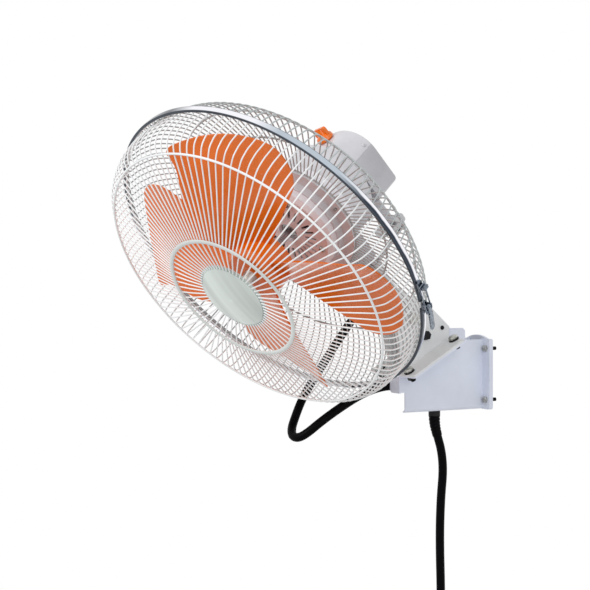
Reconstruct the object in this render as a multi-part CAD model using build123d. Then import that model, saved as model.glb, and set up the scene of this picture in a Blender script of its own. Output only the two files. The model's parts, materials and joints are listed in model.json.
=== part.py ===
from build123d import *
import math
import os

os.makedirs("parts", exist_ok=True)

# All sizes are in millimetres.  The origin is the centre of the stud pattern on the back face of the
# wall plate.  The wall is the plane y = 0, the fan looks towards -Y and +Z is up.

# ---- pose of the head as it hangs in the photograph -------------------------------------------
hinge_y = -143.0            # tilt hinge, out from the wall
hinge_z = 91.0              # tilt hinge, above the stud pattern's centre
tilt_rest = 42.0            # degrees of nose-down tilt
swing_rest = 12.6           # degrees of swing towards +X
motor_radius = 75.0
boss_start = 118.5          # swivel boss's lower end, above the tilt hinge
boss_long = 50.0
boss_sink = 1.0             # how far the boss's top reaches past the motor's skin
neck_length = boss_start + boss_long - boss_sink + motor_radius     # tilt hinge to fan axis
axis_to_rim = 140.0         # swing axis to the front edge of the clamp band

# ---- wall plate and bracket -------------------------------------------------------------------
channel_half_width = 20.0   # outer faces of the side plates
stud_beside = 8.0           # studs outside the channel
stud_half_x = channel_half_width + stud_beside
plate_half_width = stud_half_x + 10.0
plate_half_height = 57.0
plate_thickness = 4.5
plate_corner = 4.0
lug_half_width = 27.0
lug_rise = 6.0
stud_half_z = 41.5
stud_radius = 3.0
stud_out = 13.0             # free thread behind the wall plate
stud_waist = 2.65           # plain shank between head and thread
sheet = 2.6                 # bracket sheet
channel_bend = 7.0
side_length = 157.0         # wall to the lower front corner of the side plate
nose_length = 168.0         # wall to the nose of the side plate
nose_low = -25.0
far_side_start = 128.0      # wall to the front edge of the far side plate
ear_front = 73.0
ear_back = 42.0
ear_top = 75.0
side_top = 56.0
tab_end = -7.0
tab_low = -26.0

# ---- sloping seat -----------------------------------------------------------------------------
seat_y = -120.0
seat_z = 30.2
seat_slope = 30.0
seat_half_width = 64.0
seat_front = -56.0
seat_back = 58.0
seat_corner = 5.0
seat_bolt_x = 42.0
seat_bolt_along = 48.4
seat_bolt_radius = 4.0
washer_radius = 8.5
washer_thickness = 1.6

# ---- tilt yoke and neck -----------------------------------------------------------------------
yoke_sheet = 3.2
yoke_back = 53.0            # base plate, up the slope from the seat's centre
cheek_boss = 36.0
cheek_front_y = -160.0
cheek_back_top = 78.0
hinge_radius = 5.0
lock_distance = 36.0        # lock bolt from the hinge, down the neck
lock_radius = 4.0
tilt_up = 37.0              # degrees that the nose rises from rest
tilt_down = 3.0
lug_radius = 30.0
neck_radius = 19.0
neck_wall = 3.0
neck_start = 38.0           # tube's lower end above the hinge
neck_top = 109.5            # tube's upper end above the hinge
cord_exit_height = 64.0
spindle_radius = 8.0
spindle_bore = 4.5
bush_radius = 12.0
boss_radius = 24.0
boss_high = boss_sink - motor_radius        # swivel boss, from the fan axis
boss_low = boss_high - boss_long
link_eye_x = 31.0           # link pin from the swing axis
link_pin_radius = 4.0
link_low = boss_low - 6.5
link_thickness = 3.0

# ---- head, measured from the front edge of the clamp band, rearwards --------------------------
band_radius = 259.0
band_width = 10.0
band_sheet = 1.4
band_lip = 250.5
rim_outer = 257.0
wire = 2.4
shell_in = 1.6              # guard thickness, radially
shell_deep = 2.0            # guard thickness, along the axis
front_wires = 120
rear_wires = 120
badge_radius = 51.5
badge_z = -84.5
front_inner_ring = 104.0
front_mid_ring = 230.0
rear_ring = 204.0
rear_inner_ring = motor_radius + 21.0
motor_front = 62.0
motor_split = 126.0
motor_back = 190.0
motor_wall = 3.0
case_front = 195.0
case_back = 250.0
case_half_width = 58.0
case_top = 52.0
case_bottom = -58.0
case_top_corner = 50.0
case_bottom_corner = 8.0
case_split = 13.0
case_wall = 2.6
crank_z = 228.0             # crank and knob axis
knob_lift = 6.0

# ---- rotor ------------------------------------------------------------------------------------
tip_radius = 225.0
blade_count = 4
first_blade = 56.5          # degrees above the side direction
blade_sheet = 2.6
hub_radius = 45.0
hub_front = -38.0
hub_back = 8.0
shaft_radius = 6.0
core_radius = 32.5
core_front = 100.0
core_back = 142.0
stator_gap = 0.5
stator_radius = 71.0
worm_radius = 4.5
worm_pitch = math.pi
wheel_teeth = 24
pinion_teeth = 8
output_teeth = 20
crank_radius = 21.2
link_length = 90.8

# ---- cords ------------------------------------------------------------------------------------
cord = 14.0                 # outer diameter of both cords
coil_radius = 77.0
coil_turns = 3
coil_gap = 1.0
coil_z = -454.0
slack = 0.3                 # clearance between faces that pass each other
fit = 0.05                  # radial clearance of a running shaft
thread_play = 0.15          # radial clearance round a bolt's shank
m6_flats, m6_head = 10.0, 4.0
m8_flats, m8_head, m8_nut = 13.0, 5.3, 6.5
m10_flats, m10_head, m10_nut = 16.0, 6.4, 8.0
nut_show = 3.0              # thread that stands out of a nut

SEAT = Pos(0, seat_y, seat_z) * Rot(seat_slope, 0, 0)
NECK = Pos(0, hinge_y, hinge_z) * Rot(tilt_rest, 0, 0)
HEAD = NECK * Pos(0, 0, neck_length) * Rot(0, 0, swing_rest)
FAN = HEAD * Pos(0, -axis_to_rim, 0) * Rot(-90, 0, 0)     # z runs rearwards, up is -y


# ---- small helpers ----------------------------------------------------------------------------
def rod(radius, low, high, x=0.0, y=0.0):
    return Pos(x, y, (low + high) / 2) * Cylinder(radius, high - low)


def rod_x(radius, low, high, y=0.0, z=0.0):
    return Pos((low + high) / 2, y, z) * Rot(0, 90, 0) * Cylinder(radius, high - low)


def rod_y(radius, low, high, x=0.0, z=0.0):
    return Pos(x, (low + high) / 2, z) * Rot(90, 0, 0) * Cylinder(radius, high - low)


def pipe(outer, inner, low, high, x=0.0, y=0.0):
    return rod(outer, low, high, x, y) - rod(inner, low - 1, high + 1, x, y)


def block(x1, x2, y1, y2, z1, z2):
    return Pos((x1 + x2) / 2, (y1 + y2) / 2, (z1 + z2) / 2) * Box(x2 - x1, y2 - y1, z2 - z1)


def prism_x(points, low, high):
    face = make_face(Plane.YZ * Polyline(*points, close=True))
    return extrude(Pos(low, 0, 0) * face, high - low)


def turned(points):
    """A solid of revolution about Z from (radius, z) points."""
    return revolve(make_face(Plane.XZ * Polyline(*points, close=True)), Axis.Z, 360)


def hexagon(across_flats, low, high):
    return Pos(0, 0, low) * extrude(RegularPolygon(across_flats / math.sqrt(3), 6), high - low)


def hex_bolt(radius, across_flats, head, length):
    """Head on z = 0 upwards, shank downwards."""
    return hexagon(across_flats, 0, head) + rod(radius, -length, 0)


def hex_nut(radius, across_flats, height):
    return hexagon(across_flats, 0, height) - rod(radius + thread_play, -1, height + 1)


def pan_screw(radius, head_radius, head, length):
    top = turned([(0, 0), (head_radius, 0), (head_radius, head * 0.45),
                  (head_radius * 0.7, head), (0, head)])
    return top + rod(radius, -length, 0) - block(-head_radius, head_radius, -0.5, 0.5, head * 0.55, head)


def gear(teeth, pitch_radius, reach, width, bore, phase=0.0):
    """Straight teeth, one of them centred on the angle phase."""
    step = 2 * math.pi / teeth
    points = []
    for i in range(teeth):
        middle = math.radians(phase) + i * step
        for radius, share in ((pitch_radius - reach, -0.27), (pitch_radius + reach, -0.12),
                              (pitch_radius + reach, 0.12), (pitch_radius - reach, 0.27)):
            angle = middle + share * step
            points.append((radius * math.cos(angle), radius * math.sin(angle)))
    wheel = extrude(make_face(Polyline(*points, close=True)), width)
    return wheel - rod(bore, -1, width + 1)


def pattern(places, piece):
    return [place * piece for place in places]


nodes = {}


def keep(name, frame, shape):
    """Place a piece, or a group of like pieces, and file it under its node's name."""
    pieces = shape if isinstance(shape, list) else [shape]
    solids = [solid for piece in pieces for solid in (frame * piece).solids()]
    nodes[name] = solids


# ---- wall plate, bracket and their bolts ------------------------------------------------------
WALL = Rot(90, 0, 0)        # local z points away from the wall, local y is up
stud_places = [Pos(x, z, 0) for x in (-stud_half_x, stud_half_x) for z in (-stud_half_z, stud_half_z)]
bracket_face = plate_thickness + sheet


def wall_plate():
    outline = RectangleRounded(2 * plate_half_width, 2 * plate_half_height, plate_corner)
    lug_radius_top = (lug_half_width ** 2 + lug_rise ** 2) / (2 * lug_rise)
    lug_centre = plate_half_height + lug_rise - lug_radius_top
    lug = Pos(0, lug_centre) * Circle(lug_radius_top)
    window = Pos(0, plate_half_height) * Rectangle(2 * lug_half_width, 4 * lug_rise)
    plate = extrude(outline + (lug & window), plate_thickness)
    return plate - pattern(stud_places, rod(stud_radius + thread_play, -1, plate_thickness + 1))


def seat_line(y):
    return seat_z + (y - seat_y) * math.tan(math.radians(seat_slope))


def wall_bracket():
    top = ear_top + 20
    height = plate_half_height + top
    outer = Pos(0, top - height / 2) * RectangleRounded(2 * channel_half_width, height, channel_bend)
    inner_width = 2 * (channel_half_width - sheet)
    inner = Pos(0, top - height / 2 + sheet) * RectangleRounded(inner_width, height, channel_bend - sheet)
    channel = Pos(0, -plate_thickness, 0) * WALL * extrude(outer - inner, nose_length)
    side = [(-side_length, -plate_half_height), (0, -plate_half_height), (0, side_top),
            (-ear_back, side_top), (-ear_back, ear_top - 4), (-ear_back - 4, ear_top),
            (-ear_front, ear_top), (-ear_front, seat_line(-ear_front)),
            (-nose_length, seat_line(-nose_length)), (-nose_length, nose_low), (-side_length, nose_low)]
    channel = channel & prism_x(side, -channel_half_width - 1, channel_half_width + 1)
    channel -= block(-channel_half_width - 1, channel_half_width - channel_bend,
                     -nose_length - 5, -far_side_start, -plate_half_height - 1, top)
    gap = 2 * (channel_half_width - sheet)
    flanges = RectangleRounded(2 * plate_half_width, 2 * plate_half_height, plate_corner)
    flanges -= Rectangle(gap, 3 * plate_half_height)
    channel += Pos(0, -plate_thickness, 0) * WALL * extrude(flanges, sheet)
    seat = Pos(0, (seat_front + seat_back) / 2) * RectangleRounded(
        2 * seat_half_width, seat_back - seat_front, seat_corner)
    seat -= Rectangle(gap, 3 * (seat_back - seat_front))
    channel += SEAT * Pos(0, 0, -sheet) * extrude(seat, sheet)
    tab = block(tab_end + 6, channel_half_width, -nose_length, -nose_length + sheet, tab_low, 0)
    tab += block(tab_end, tab_end + 7, -nose_length, -nose_length + sheet, tab_low + 6, 0)
    tab += rod_y(6, -nose_length, -nose_length + sheet, tab_end + 6, tab_low + 6)
    channel += tab
    channel -= [Pos(0, -plate_thickness, 0) * WALL * place * rod(stud_radius + thread_play, -1, sheet + 1)
                for place in stud_places]
    channel -= [SEAT * place * rod(seat_bolt_radius + thread_play, -sheet - 1, 1) for place in seat_places]
    return channel - rod(lead_gland_radius, -plate_half_height - 1, -plate_half_height + sheet + 1,
                         0, lead_y)


seat_places = [Pos(x, y, 0) for x in (-seat_bolt_x, seat_bolt_x)
               for y in (-seat_bolt_along, seat_bolt_along)]
lead_y = -88.0
lead_gland_radius = 9.5

keep("wall_plate", WALL, wall_plate())
keep("wall_bracket", Pos(0, 0, 0), wall_bracket())
wall_bolt = hex_bolt(stud_waist, m6_flats, m6_head, bracket_face)
wall_bolt += rod(stud_radius, -bracket_face - stud_out, -bracket_face)
keep("wall_bolts", WALL * Pos(0, 0, bracket_face), pattern(stud_places, wall_bolt))


# ---- tilt yoke on the seat --------------------------------------------------------------------
def tangent_point(px, py, radius, side):
    """Where a line from (px, py) touches the circle round the hinge."""
    dx, dy = px - hinge_y, py - hinge_z
    reach = math.hypot(dx, dy)
    angle = math.atan2(dy, dx) + side * math.acos(radius / reach)
    return hinge_y + radius * math.cos(angle), hinge_z + radius * math.sin(angle)


def arc_slot(distance, radius):
    """Curved slot round the hinge that the lock bolt slides in, as a solid along X."""
    wide = channel_half_width + 2
    ring = rod_x(distance + radius, -wide, wide) - rod_x(distance - radius, -wide - 1, wide + 1)
    low, high = -90 - tilt_up, -90 + tilt_down
    reach = 3 * distance
    wedge = [(0, 0)]
    for i in range(5):
        angle = math.radians(low + (high - low) * i / 4)
        wedge.append((reach * math.cos(angle), reach * math.sin(angle)))
    slot = ring & prism_x(wedge, -wide - 1, wide + 1)
    for angle in (low, high):
        slot += rod_x(radius, -wide, wide, distance * math.cos(math.radians(angle)),
                      distance * math.sin(math.radians(angle)))
    return NECK * slot


def tilt_yoke():
    base = Pos(0, (seat_front + yoke_back) / 2) * RectangleRounded(
        2 * seat_half_width, yoke_back - seat_front, seat_corner)
    yoke = SEAT * extrude(base, yoke_sheet)
    back = -ear_front - slack
    lift = yoke_sheet / 2 / math.cos(math.radians(seat_slope))
    cheek = [(back, seat_line(back) + lift), (back, cheek_back_top),
             tangent_point(back, cheek_back_top, cheek_boss, 1),
             (hinge_y, hinge_z),
             tangent_point(cheek_front_y, seat_line(cheek_front_y), cheek_boss, -1),
             (cheek_front_y, seat_line(cheek_front_y) + lift)]
    for side in (-1, 1):
        low = min(side * channel_half_width, side * (channel_half_width - yoke_sheet))
        yoke += prism_x(cheek, low, low + yoke_sheet)
        yoke += rod_x(cheek_boss, low, low + yoke_sheet, hinge_y, hinge_z)
    wide = channel_half_width + 2
    yoke -= rod_x(hinge_radius + thread_play, -wide, wide, hinge_y, hinge_z)
    yoke -= arc_slot(lock_distance, lock_radius + slack)
    yoke -= rod_x(stop_radius + thread_play, 0, wide, stop_y, stop_z)
    yoke -= [SEAT * place * rod(seat_bolt_radius + thread_play, -1, yoke_sheet + 1)
             for place in seat_places]
    return yoke


stop_radius = 2.0
stop_head = 3.4
stop_y = -87.0
stop_z = 76.0
keep("tilt_yoke", Pos(0, 0, 0), tilt_yoke())
seat_bolt = hex_bolt(seat_bolt_radius, m8_flats, m8_head,
                     yoke_sheet + washer_thickness + sheet + m8_nut + nut_show + 0.5)
seat_washer = pipe(washer_radius, seat_bolt_radius + thread_play, 0, washer_thickness)
seat_top = yoke_sheet + washer_thickness
keep("seat_bolts", SEAT * Pos(0, 0, seat_top), pattern(seat_places, seat_bolt))
keep("seat_washers", SEAT * Pos(0, 0, yoke_sheet), pattern(seat_places, seat_washer))
keep("seat_nuts", SEAT * Pos(0, 0, -sheet - m8_nut),
     pattern(seat_places, hex_nut(seat_bolt_radius, m8_flats, m8_nut)))
ACROSS = Rot(0, 90, 0)      # local z becomes +X
keep("stop_screw", Pos(channel_half_width, stop_y, stop_z) * ACROSS,
     pan_screw(stop_radius, stop_head, 2.4, 10))
hinge_frame = Pos(channel_half_width, hinge_y, hinge_z) * ACROSS
keep("tilt_hinge_bolt", hinge_frame,
     hex_bolt(hinge_radius, m10_flats, m10_head, 2 * channel_half_width + m10_nut + nut_show + 1))
keep("tilt_hinge_nut", Pos(-channel_half_width - m10_nut, hinge_y, hinge_z) * ACROSS,
     hex_nut(hinge_radius, m10_flats, m10_nut))


# ---- neck: lug, tube, swivel spindle and link arm ---------------------------------------------
lug_half = channel_half_width - yoke_sheet - slack
BUSH_AXIS = Vector(-0.78, -0.26, -0.57)
cord_start = 30.0           # end of the bush, from the neck axis


def neck_lug():
    body = rod_x(lug_radius, -lug_half, lug_half)
    body += block(-lug_half, lug_half, -neck_radius, neck_radius, 0, neck_start + 2)
    body += block(-lug_half, lug_half, -11, 11, -lock_distance, 0)
    body += rod_x(11, -lug_half, lug_half, 0, -lock_distance)
    body += rod(neck_radius + 3, neck_start, neck_start + 7)
    body -= rod(neck_radius + slack / 3, neck_start + 2, neck_start + 8)
    body -= rod_x(hinge_radius + fit, -lug_half - 1, lug_half + 1)
    body -= rod_x(lock_radius + thread_play, -lug_half - 1, lug_half + 1, 0, -lock_distance)
    return body


def neck_point(x, y, z):
    """World place of a point given in the neck's own frame."""
    return (NECK * Pos(x, y, z)).position


exit_centre = neck_point(0, 0, cord_exit_height)
bush_plane = Plane(origin=exit_centre, z_dir=BUSH_AXIS)
bush_hole = bush_plane.location * rod(cord / 2 + 2, 6, 60)


def neck_tube():
    """Tube with the link's arm and pin welded round its top."""
    tube = pipe(neck_radius, neck_radius - neck_wall, neck_start + 2, neck_top)
    low, high = neck_top - 12, neck_top - 3
    arm = rod(neck_radius + 5, low, high) + rod(link_pin_radius + 4, low, high, link_eye_x)
    arm += block(0, link_eye_x, -7, 7, low, high)
    arm -= rod(neck_radius - neck_wall, low - 1, high + 1)
    tube += arm + rod(link_pin_radius, low, neck_length + link_low + link_thickness + 2, link_eye_x)
    return NECK * tube - bush_hole


def neck_spindle():
    inside = neck_radius - neck_wall
    body = rod(inside - slack / 3, neck_top - 8, neck_top)
    body += rod(spindle_radius, neck_top - 8, neck_length + boss_high - 9)
    body += rod(spindle_radius + 2.8, neck_top - 1, neck_length + boss_low - slack)
    return body - rod(spindle_bore, neck_top - 9, neck_length)


keep("neck_lug", NECK, neck_lug())
keep("neck_tube", Pos(0, 0, 0), neck_tube())
keep("neck_spindle", NECK, neck_spindle())
keep("retaining_ring", NECK, pipe(spindle_radius + 3.5, spindle_radius + fit,
                                  neck_length + boss_high - 17.7, neck_length + boss_high - 15.5))
lock_frame = NECK * Pos(channel_half_width, 0, -lock_distance) * ACROSS
lock_bolt = hex_bolt(lock_radius, m8_flats, m8_head, 2 * channel_half_width + m8_nut + nut_show - 0.5)
keep("tilt_lock_bolt", lock_frame * Pos(0, 0, slack), lock_bolt)
keep("tilt_lock_nut", NECK * Pos(-channel_half_width - slack - m8_nut, 0, -lock_distance) * ACROSS,
     hex_nut(lock_radius, m8_flats, m8_nut))
keep("cord_bush", bush_plane.location,
     pipe(cord / 2 + 1.8, cord / 2 + 0.1, 16, 24) + pipe(cord / 2 + 4, cord / 2 + 0.1, 24, cord_start))


# ---- motor ------------------------------------------------------------------------------------
def motor_front_shell():
    wall = motor_wall
    cup = turned([(16, motor_front), (motor_radius - 6, motor_front), (motor_radius, motor_front + 6),
                  (motor_radius, motor_split), (motor_radius - wall, motor_split),
                  (motor_radius - wall, motor_front + 7), (motor_radius - 7, motor_front + wall),
                  (bearing_outer + 4, motor_front + wall), (bearing_outer + 4, motor_front + 16),
                  (bearing_outer, motor_front + 16), (bearing_outer, motor_front + 4), (16, motor_front + 4)])
    cup -= [Rot(0, 0, a) * rod(screw_radius + thread_play, motor_front - 1, motor_front + 20, shell_screw_at)
            for a in screw_angles]
    vent = [Rot(0, 0, 360 * i / vents) * block(30, 50, -2.2, 2.2, motor_front - 1, motor_front + wall + 1)
            for i in range(vents)]
    return cup - vent


def motor_rear_shell():
    wall = motor_wall
    low = motor_split + slack / 3
    cup = turned([(motor_radius, low), (motor_radius, motor_back - 10), (motor_radius - 10, motor_back),
                  (20, motor_back), (20, case_front), (bearing_outer - 3, case_front),
                  (bearing_outer - 3, motor_back - 2), (bearing_outer, motor_back - 2),
                  (bearing_outer, motor_back - 14), (bearing_outer + 4, motor_back - 14),
                  (bearing_outer + 4, motor_back - wall), (motor_radius - 11, motor_back - wall),
                  (motor_radius - wall, motor_back - 11), (motor_radius - wall, low)])
    vent = [Rot(0, 0, 360 * (i + 0.5) / vents) * block(32, 60, -2, 2, motor_back - wall - 1, motor_back + 1)
            for i in range(vents)]
    return cup - vent


bearing_outer = 15.0
vents = 24                  # cooling slots in each end of the motor
screw_radius = 2.5
shell_screw_at = 59.0
screw_angles = (45, 135, 225, 315)
keep("motor_front_shell", FAN, motor_front_shell())
keep("motor_rear_shell", FAN, motor_rear_shell())
FLIP = Rot(180, 0, 0)       # a screw's head then looks forwards
motor_screw = pan_screw(screw_radius, 5, 3.4, 5)
shell_screw_places = [Rot(0, 0, a) * Pos(shell_screw_at, 0, motor_front) * FLIP for a in screw_angles]
bearing = pipe(bearing_outer - slack / 3, bearing_outer - 4, 0, 10) + pipe(9, shaft_radius + fit, 0, 10)
bearing += pipe(12, 8, 1.5, 8.5)
keep("motor_bearings", FAN, [Pos(0, 0, z) * bearing for z in (motor_front + 5, motor_back - 13)])


stator_slots = 24


def stator_core():
    core = pipe(stator_radius, core_radius + stator_gap, core_front, core_back)
    slot = block(core_radius + 4, 56, -3, 3, core_front - 1, core_back + 1)
    slots = [Rot(0, 0, 360 * i / stator_slots) * slot for i in range(stator_slots)]
    return core - slots


winding_long = 18.0


def winding_head(low, high):
    face = Pos(46, 0, (low + high) / 2) * Rot(90, 0, 0) * RectangleRounded(18, high - low, 4)
    return revolve(face, Axis.Z, 360)


keep("stator_core", FAN, stator_core())
keep("stator_windings", FAN, [winding_head(core_front - winding_long, core_front),
                              winding_head(core_back, core_back + winding_long)])


# ---- swivel bracket under the motor -----------------------------------------------------------
saddle_low = axis_to_rim - 35
saddle_high = axis_to_rim + 35
saddle_screw_angles = (-26, 26)


def swivel_bracket():
    inner = motor_radius + slack / 3
    low, high = axis_to_rim - 44, axis_to_rim + 44
    saddle = pipe(inner + 5, inner, low, high) & block(-46, 46, 55, inner + 6, low, high)
    boss = Pos(0, 0, axis_to_rim) * Rot(90, 0, 0) * rod(boss_radius, boss_low, -inner + 8)
    body = saddle + boss
    body -= rod(inner, low - 1, high + 1)
    body -= Pos(0, 0, axis_to_rim) * Rot(90, 0, 0) * rod(bush_radius, boss_low - 1, boss_high - 18)
    body -= Pos(0, 0, axis_to_rim) * Rot(90, 0, 0) * rod(bush_radius + 1.5, boss_high - 18, boss_high + 8)
    hole = rod(screw_radius + thread_play, -9, 1)
    return body - [Rot(0, 0, 90 + a) * Pos(inner + 6, 0, z) * ACROSS * hole
                   for a in saddle_screw_angles for z in (saddle_low, saddle_high)]


keep("swivel_bracket", FAN, swivel_bracket())
saddle_screw_places = [Rot(0, 0, 90 + a) * Pos(motor_radius + 5 + slack / 3, 0, z) * ACROSS
                       for a in saddle_screw_angles for z in (saddle_low, saddle_high)]
keep("motor_screws", FAN, pattern(shell_screw_places + saddle_screw_places, motor_screw))
keep("swivel_bush", HEAD, pipe(bush_radius, spindle_radius + fit, boss_low, boss_high - 18))


# ---- gear case behind the motor ---------------------------------------------------------------
case_corner = min(case_top_corner, case_half_width - 2)


def case_outline(inset):
    """Arch-shaped outline of the gear case; local y is down."""
    half = case_half_width - inset
    top = case_top - inset
    bottom = case_bottom + inset
    corner = case_corner - inset
    low = max(case_bottom_corner - inset, 1)
    edges = [Line((-half, -bottom - low), (-half, -top + corner)),
             JernArc((-half, -top + corner), (0, -1), corner, 90),
             Line((-half + corner, -top), (half - corner, -top)),
             JernArc((half - corner, -top), (1, 0), corner, 90),
             Line((half, -top + corner), (half, -bottom - low)),
             JernArc((half, -bottom - low), (0, 1), low, 90),
             Line((half - low, -bottom), (-half + low, -bottom)),
             JernArc((-half + low, -bottom), (-1, 0), low, 90)]
    return make_face(Wire(edges))


def hollow_case():
    outer = Pos(0, 0, case_front) * extrude(case_outline(0), case_back - case_front)
    outer = fillet(outer.faces().sort_by(Axis.Z)[-1].edges(), 5)
    inner = Pos(0, 0, case_front + case_wall) * extrude(
        case_outline(case_wall), case_back - case_front - 2 * case_wall)
    return outer - inner


case_shell = hollow_case()
UPRIGHT = Pos(0, 0, crank_z) * Rot(90, 0, 0)       # crank axis: local z is up
wheel_radius = wheel_teeth * worm_pitch / (2 * math.pi)
wheel_x = -(worm_radius + wheel_radius + 0.9)
pinion_radius = 7.0
output_radius = pinion_radius * output_teeth / pinion_teeth
mesh_reach = pinion_radius + output_radius + 0.1
worm_z = crank_z - math.sqrt(mesh_reach ** 2 - wheel_x ** 2)     # middle of the worm's thread
WHEEL = Pos(wheel_x, 0, worm_z) * Rot(90, 0, 0)    # worm wheel's axis: local z is up
mesh_angle = math.degrees(math.atan2(crank_z - worm_z, -wheel_x))   # from pinion to output gear
spindle = 5.0               # crank spindle's radius
leg_low = boss_low + 9      # lower end of the case's tubular leg
disc_low = boss_low - 1


def gear_case():
    case = case_shell & block(-100, 100, -case_split, 100, 0, 400)
    case += UPRIGHT * rod(12, leg_low, case_bottom + 6)
    case -= UPRIGHT * rod(spindle + fit, leg_low - 1, case_bottom + 20)
    case -= rod(worm_radius + 3, case_front - 1, case_front + case_wall + 1)
    floor = WHEEL * pipe(6, 3 + fit, case_bottom + case_wall - 0.1, wheel_low - slack)
    return case + floor


wheel_low = -34.0


def gear_cover():
    cover = case_shell & block(-100, 100, -100, -case_split - slack / 3, 0, 400)
    cover -= UPRIGHT * rod(4 + slack, case_top - 20, case_top + 10)
    seat = rod(cover_screw_head + slack / 3, 0, 4)
    hole = rod(cover_screw_radius + thread_play, -case_wall - 3, 3)
    return cover - [place * (seat + hole) for place in cover_screw_places]


cover_screw_radius = 1.6
cover_screw_head = 3.4
cover_screw_up = 20.0
cover_screw_x = case_half_width - case_corner + math.sqrt(
    case_corner ** 2 - (cover_screw_up - case_top + case_corner) ** 2)
cover_screw_places = [Pos(side * cover_screw_x, -cover_screw_up, case_front + 40) * Rot(0, side * 90, 0)
                      for side in (-1, 1)]
keep("gear_case", FAN, gear_case())
keep("gear_cover", FAN, gear_cover())


def knob():
    body = turned([(0, case_top + 0.5), (12, case_top + 0.5), (14, case_top + 3), (13, case_top + 8),
                   (8, case_top + 12), (6, case_top + 20), (0, case_top + 20)])
    wing = block(-13, 13, -2.6, 2.6, case_top + 7, case_top + 22)
    wing = fillet(wing.edges().filter_by(Axis.Y), 4)
    return body + wing + rod(4, case_top - 9, case_top + 1)


keep("clutch_knob", FAN * UPRIGHT, knob())

# ---- guard mounting ring, rear guard, front guard, badge and clamp band -----------------------
ring_plate_z = 90.6
ring_plate = 3.2
guard_screw_at = rear_inner_ring - 8
GUARD_SCREWS = [Rot(0, 0, a) * Pos(guard_screw_at, 0, 0) for a in (0, 90, 180, 270)]


def guard_mount_ring():
    high = ring_plate_z + ring_plate
    ring = pipe(rear_inner_ring, motor_radius + slack / 3, ring_plate_z, high)
    ring += pipe(motor_radius + 3, motor_radius + slack / 3, ring_plate_z - 12, high)
    hole = rod(screw_radius + thread_play, ring_plate_z - 1, high + 1)
    return ring - [place * hole for place in GUARD_SCREWS]


keep("guard_mount_ring", FAN, guard_mount_ring())
keep("guard_screws", FAN, [place * Pos(0, 0, ring_plate_z + ring_plate + shell_deep)
                           * pan_screw(screw_radius, 7, 3, 9) for place in GUARD_SCREWS])
keep("cover_screws", FAN, [place * pan_screw(cover_screw_radius, cover_screw_head, 2, 8)
                            for place in cover_screw_places])


def sector(near, far, low, high, count, index):
    """Space between two neighbouring wires, from one ring out to the next."""
    half = math.pi / count
    corners = []
    for radius, side in ((near, -1), (far, -1), (far, 1), (near, 1)):
        corners.append((radius * math.cos(half), side * (radius * math.sin(half) - wire / 2)))
    angle = math.degrees(half * (2 * index + 1))
    return Rot(0, 0, angle) * Pos(0, 0, low) * extrude(make_face(Polyline(*corners, close=True)), high - low)


def thick_line(points, deep):
    """Closed outline of a dished sheet: the points, and the same points moved inwards."""
    return points + [(r - shell_in, z + deep) for r, z in reversed(points)]


def rim(low, high):
    return pipe(rim_outer, band_lip - 2.5, low, high)


def front_guard():
    line = [(badge_radius + 0.5 + shell_in, badge_z), (front_inner_ring, badge_z - 3), (front_mid_ring, -58),
            (243, -50), (250, -36), (252, -14), (band_lip - 1, 3)]
    guard = turned(thick_line(line, shell_deep)) + rim(band_sheet + 0.2, band_width / 2 - 0.2)
    gaps = []
    for i in range(front_wires):
        gaps.append(sector(front_mid_ring + 2.5, band_lip + 3, badge_z, -2, front_wires, i))
        gaps.append(sector(front_inner_ring + 2.5, front_mid_ring - 2.5, badge_z - 9, 0, front_wires, i))
    for i in range(front_wires // 2):
        gaps.append(sector(badge_radius + 6, front_inner_ring - 2.5, badge_z - 9, 0, front_wires // 2, i))
    return guard - gaps


def rear_guard():
    line = [(band_lip - 1, band_width / 2 + 2), (250, 23), (242, 48), (225, 67),
            (rear_ring, 79), (150, 92),
            (rear_inner_ring + 2.5, ring_plate_z + ring_plate + shell_deep)]
    guard = turned(thick_line(line, -shell_deep))
    guard += rim(band_width / 2 + 0.2, band_width - band_sheet - 0.2)
    guard += pipe(rear_inner_ring + 3, rear_inner_ring - 3, ring_plate_z + ring_plate,
                  ring_plate_z + ring_plate + shell_deep)
    gaps = []
    for i in range(rear_wires):
        gaps.append(sector(rear_ring + 2.5, band_lip + 3, band_width + 2, 110, rear_wires, i))
        gaps.append(sector(rear_inner_ring + 4, rear_ring - 2.5, 40, 110, rear_wires, i))
    return guard - gaps


def centre_badge():
    rise = 5.0
    dome_radius = (badge_radius ** 2 + rise ** 2) / (2 * rise)
    dome = Pos(0, 0, badge_z - rise + dome_radius) * Sphere(dome_radius) & rod(
        badge_radius, badge_z - rise - 1, badge_z)
    return dome + rod(badge_radius, badge_z - 0.1, badge_z + shell_deep) + rod(
        badge_radius + 5, badge_z + shell_deep, badge_z + shell_deep + 1.6)


latch_angle = -28.0         # degrees above the side direction
band_gap = 3.0              # degrees of band left open under the latch


def clamp_band():
    line = [(band_lip, 0), (band_radius, 0), (band_radius, band_width), (band_lip, band_width),
            (band_lip, band_width - band_sheet), (band_radius - band_sheet, band_width - band_sheet),
            (band_radius - band_sheet, band_sheet), (band_lip, band_sheet)]
    reach = 2 * band_radius
    half = math.radians(band_gap / 2)
    wedge = extrude(make_face(Polyline((0, 0), (reach, -reach * math.tan(half)),
                                       (reach, reach * math.tan(half)), close=True)), 2 * band_width)
    return turned(line) - Rot(0, 0, -latch_angle) * Pos(0, 0, -band_width / 2) * wedge


keep("rear_guard", FAN, rear_guard())
keep("front_guard", FAN, front_guard())
keep("centre_badge", FAN, centre_badge())
keep("clamp_band", FAN, clamp_band())


# ---- band latch: local x is outwards, y runs down the rim, z rearwards -------------------------
def on_band(angle):
    return FAN * Rot(0, 0, -angle) * Pos(band_radius, 0, band_width / 2)


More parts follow.
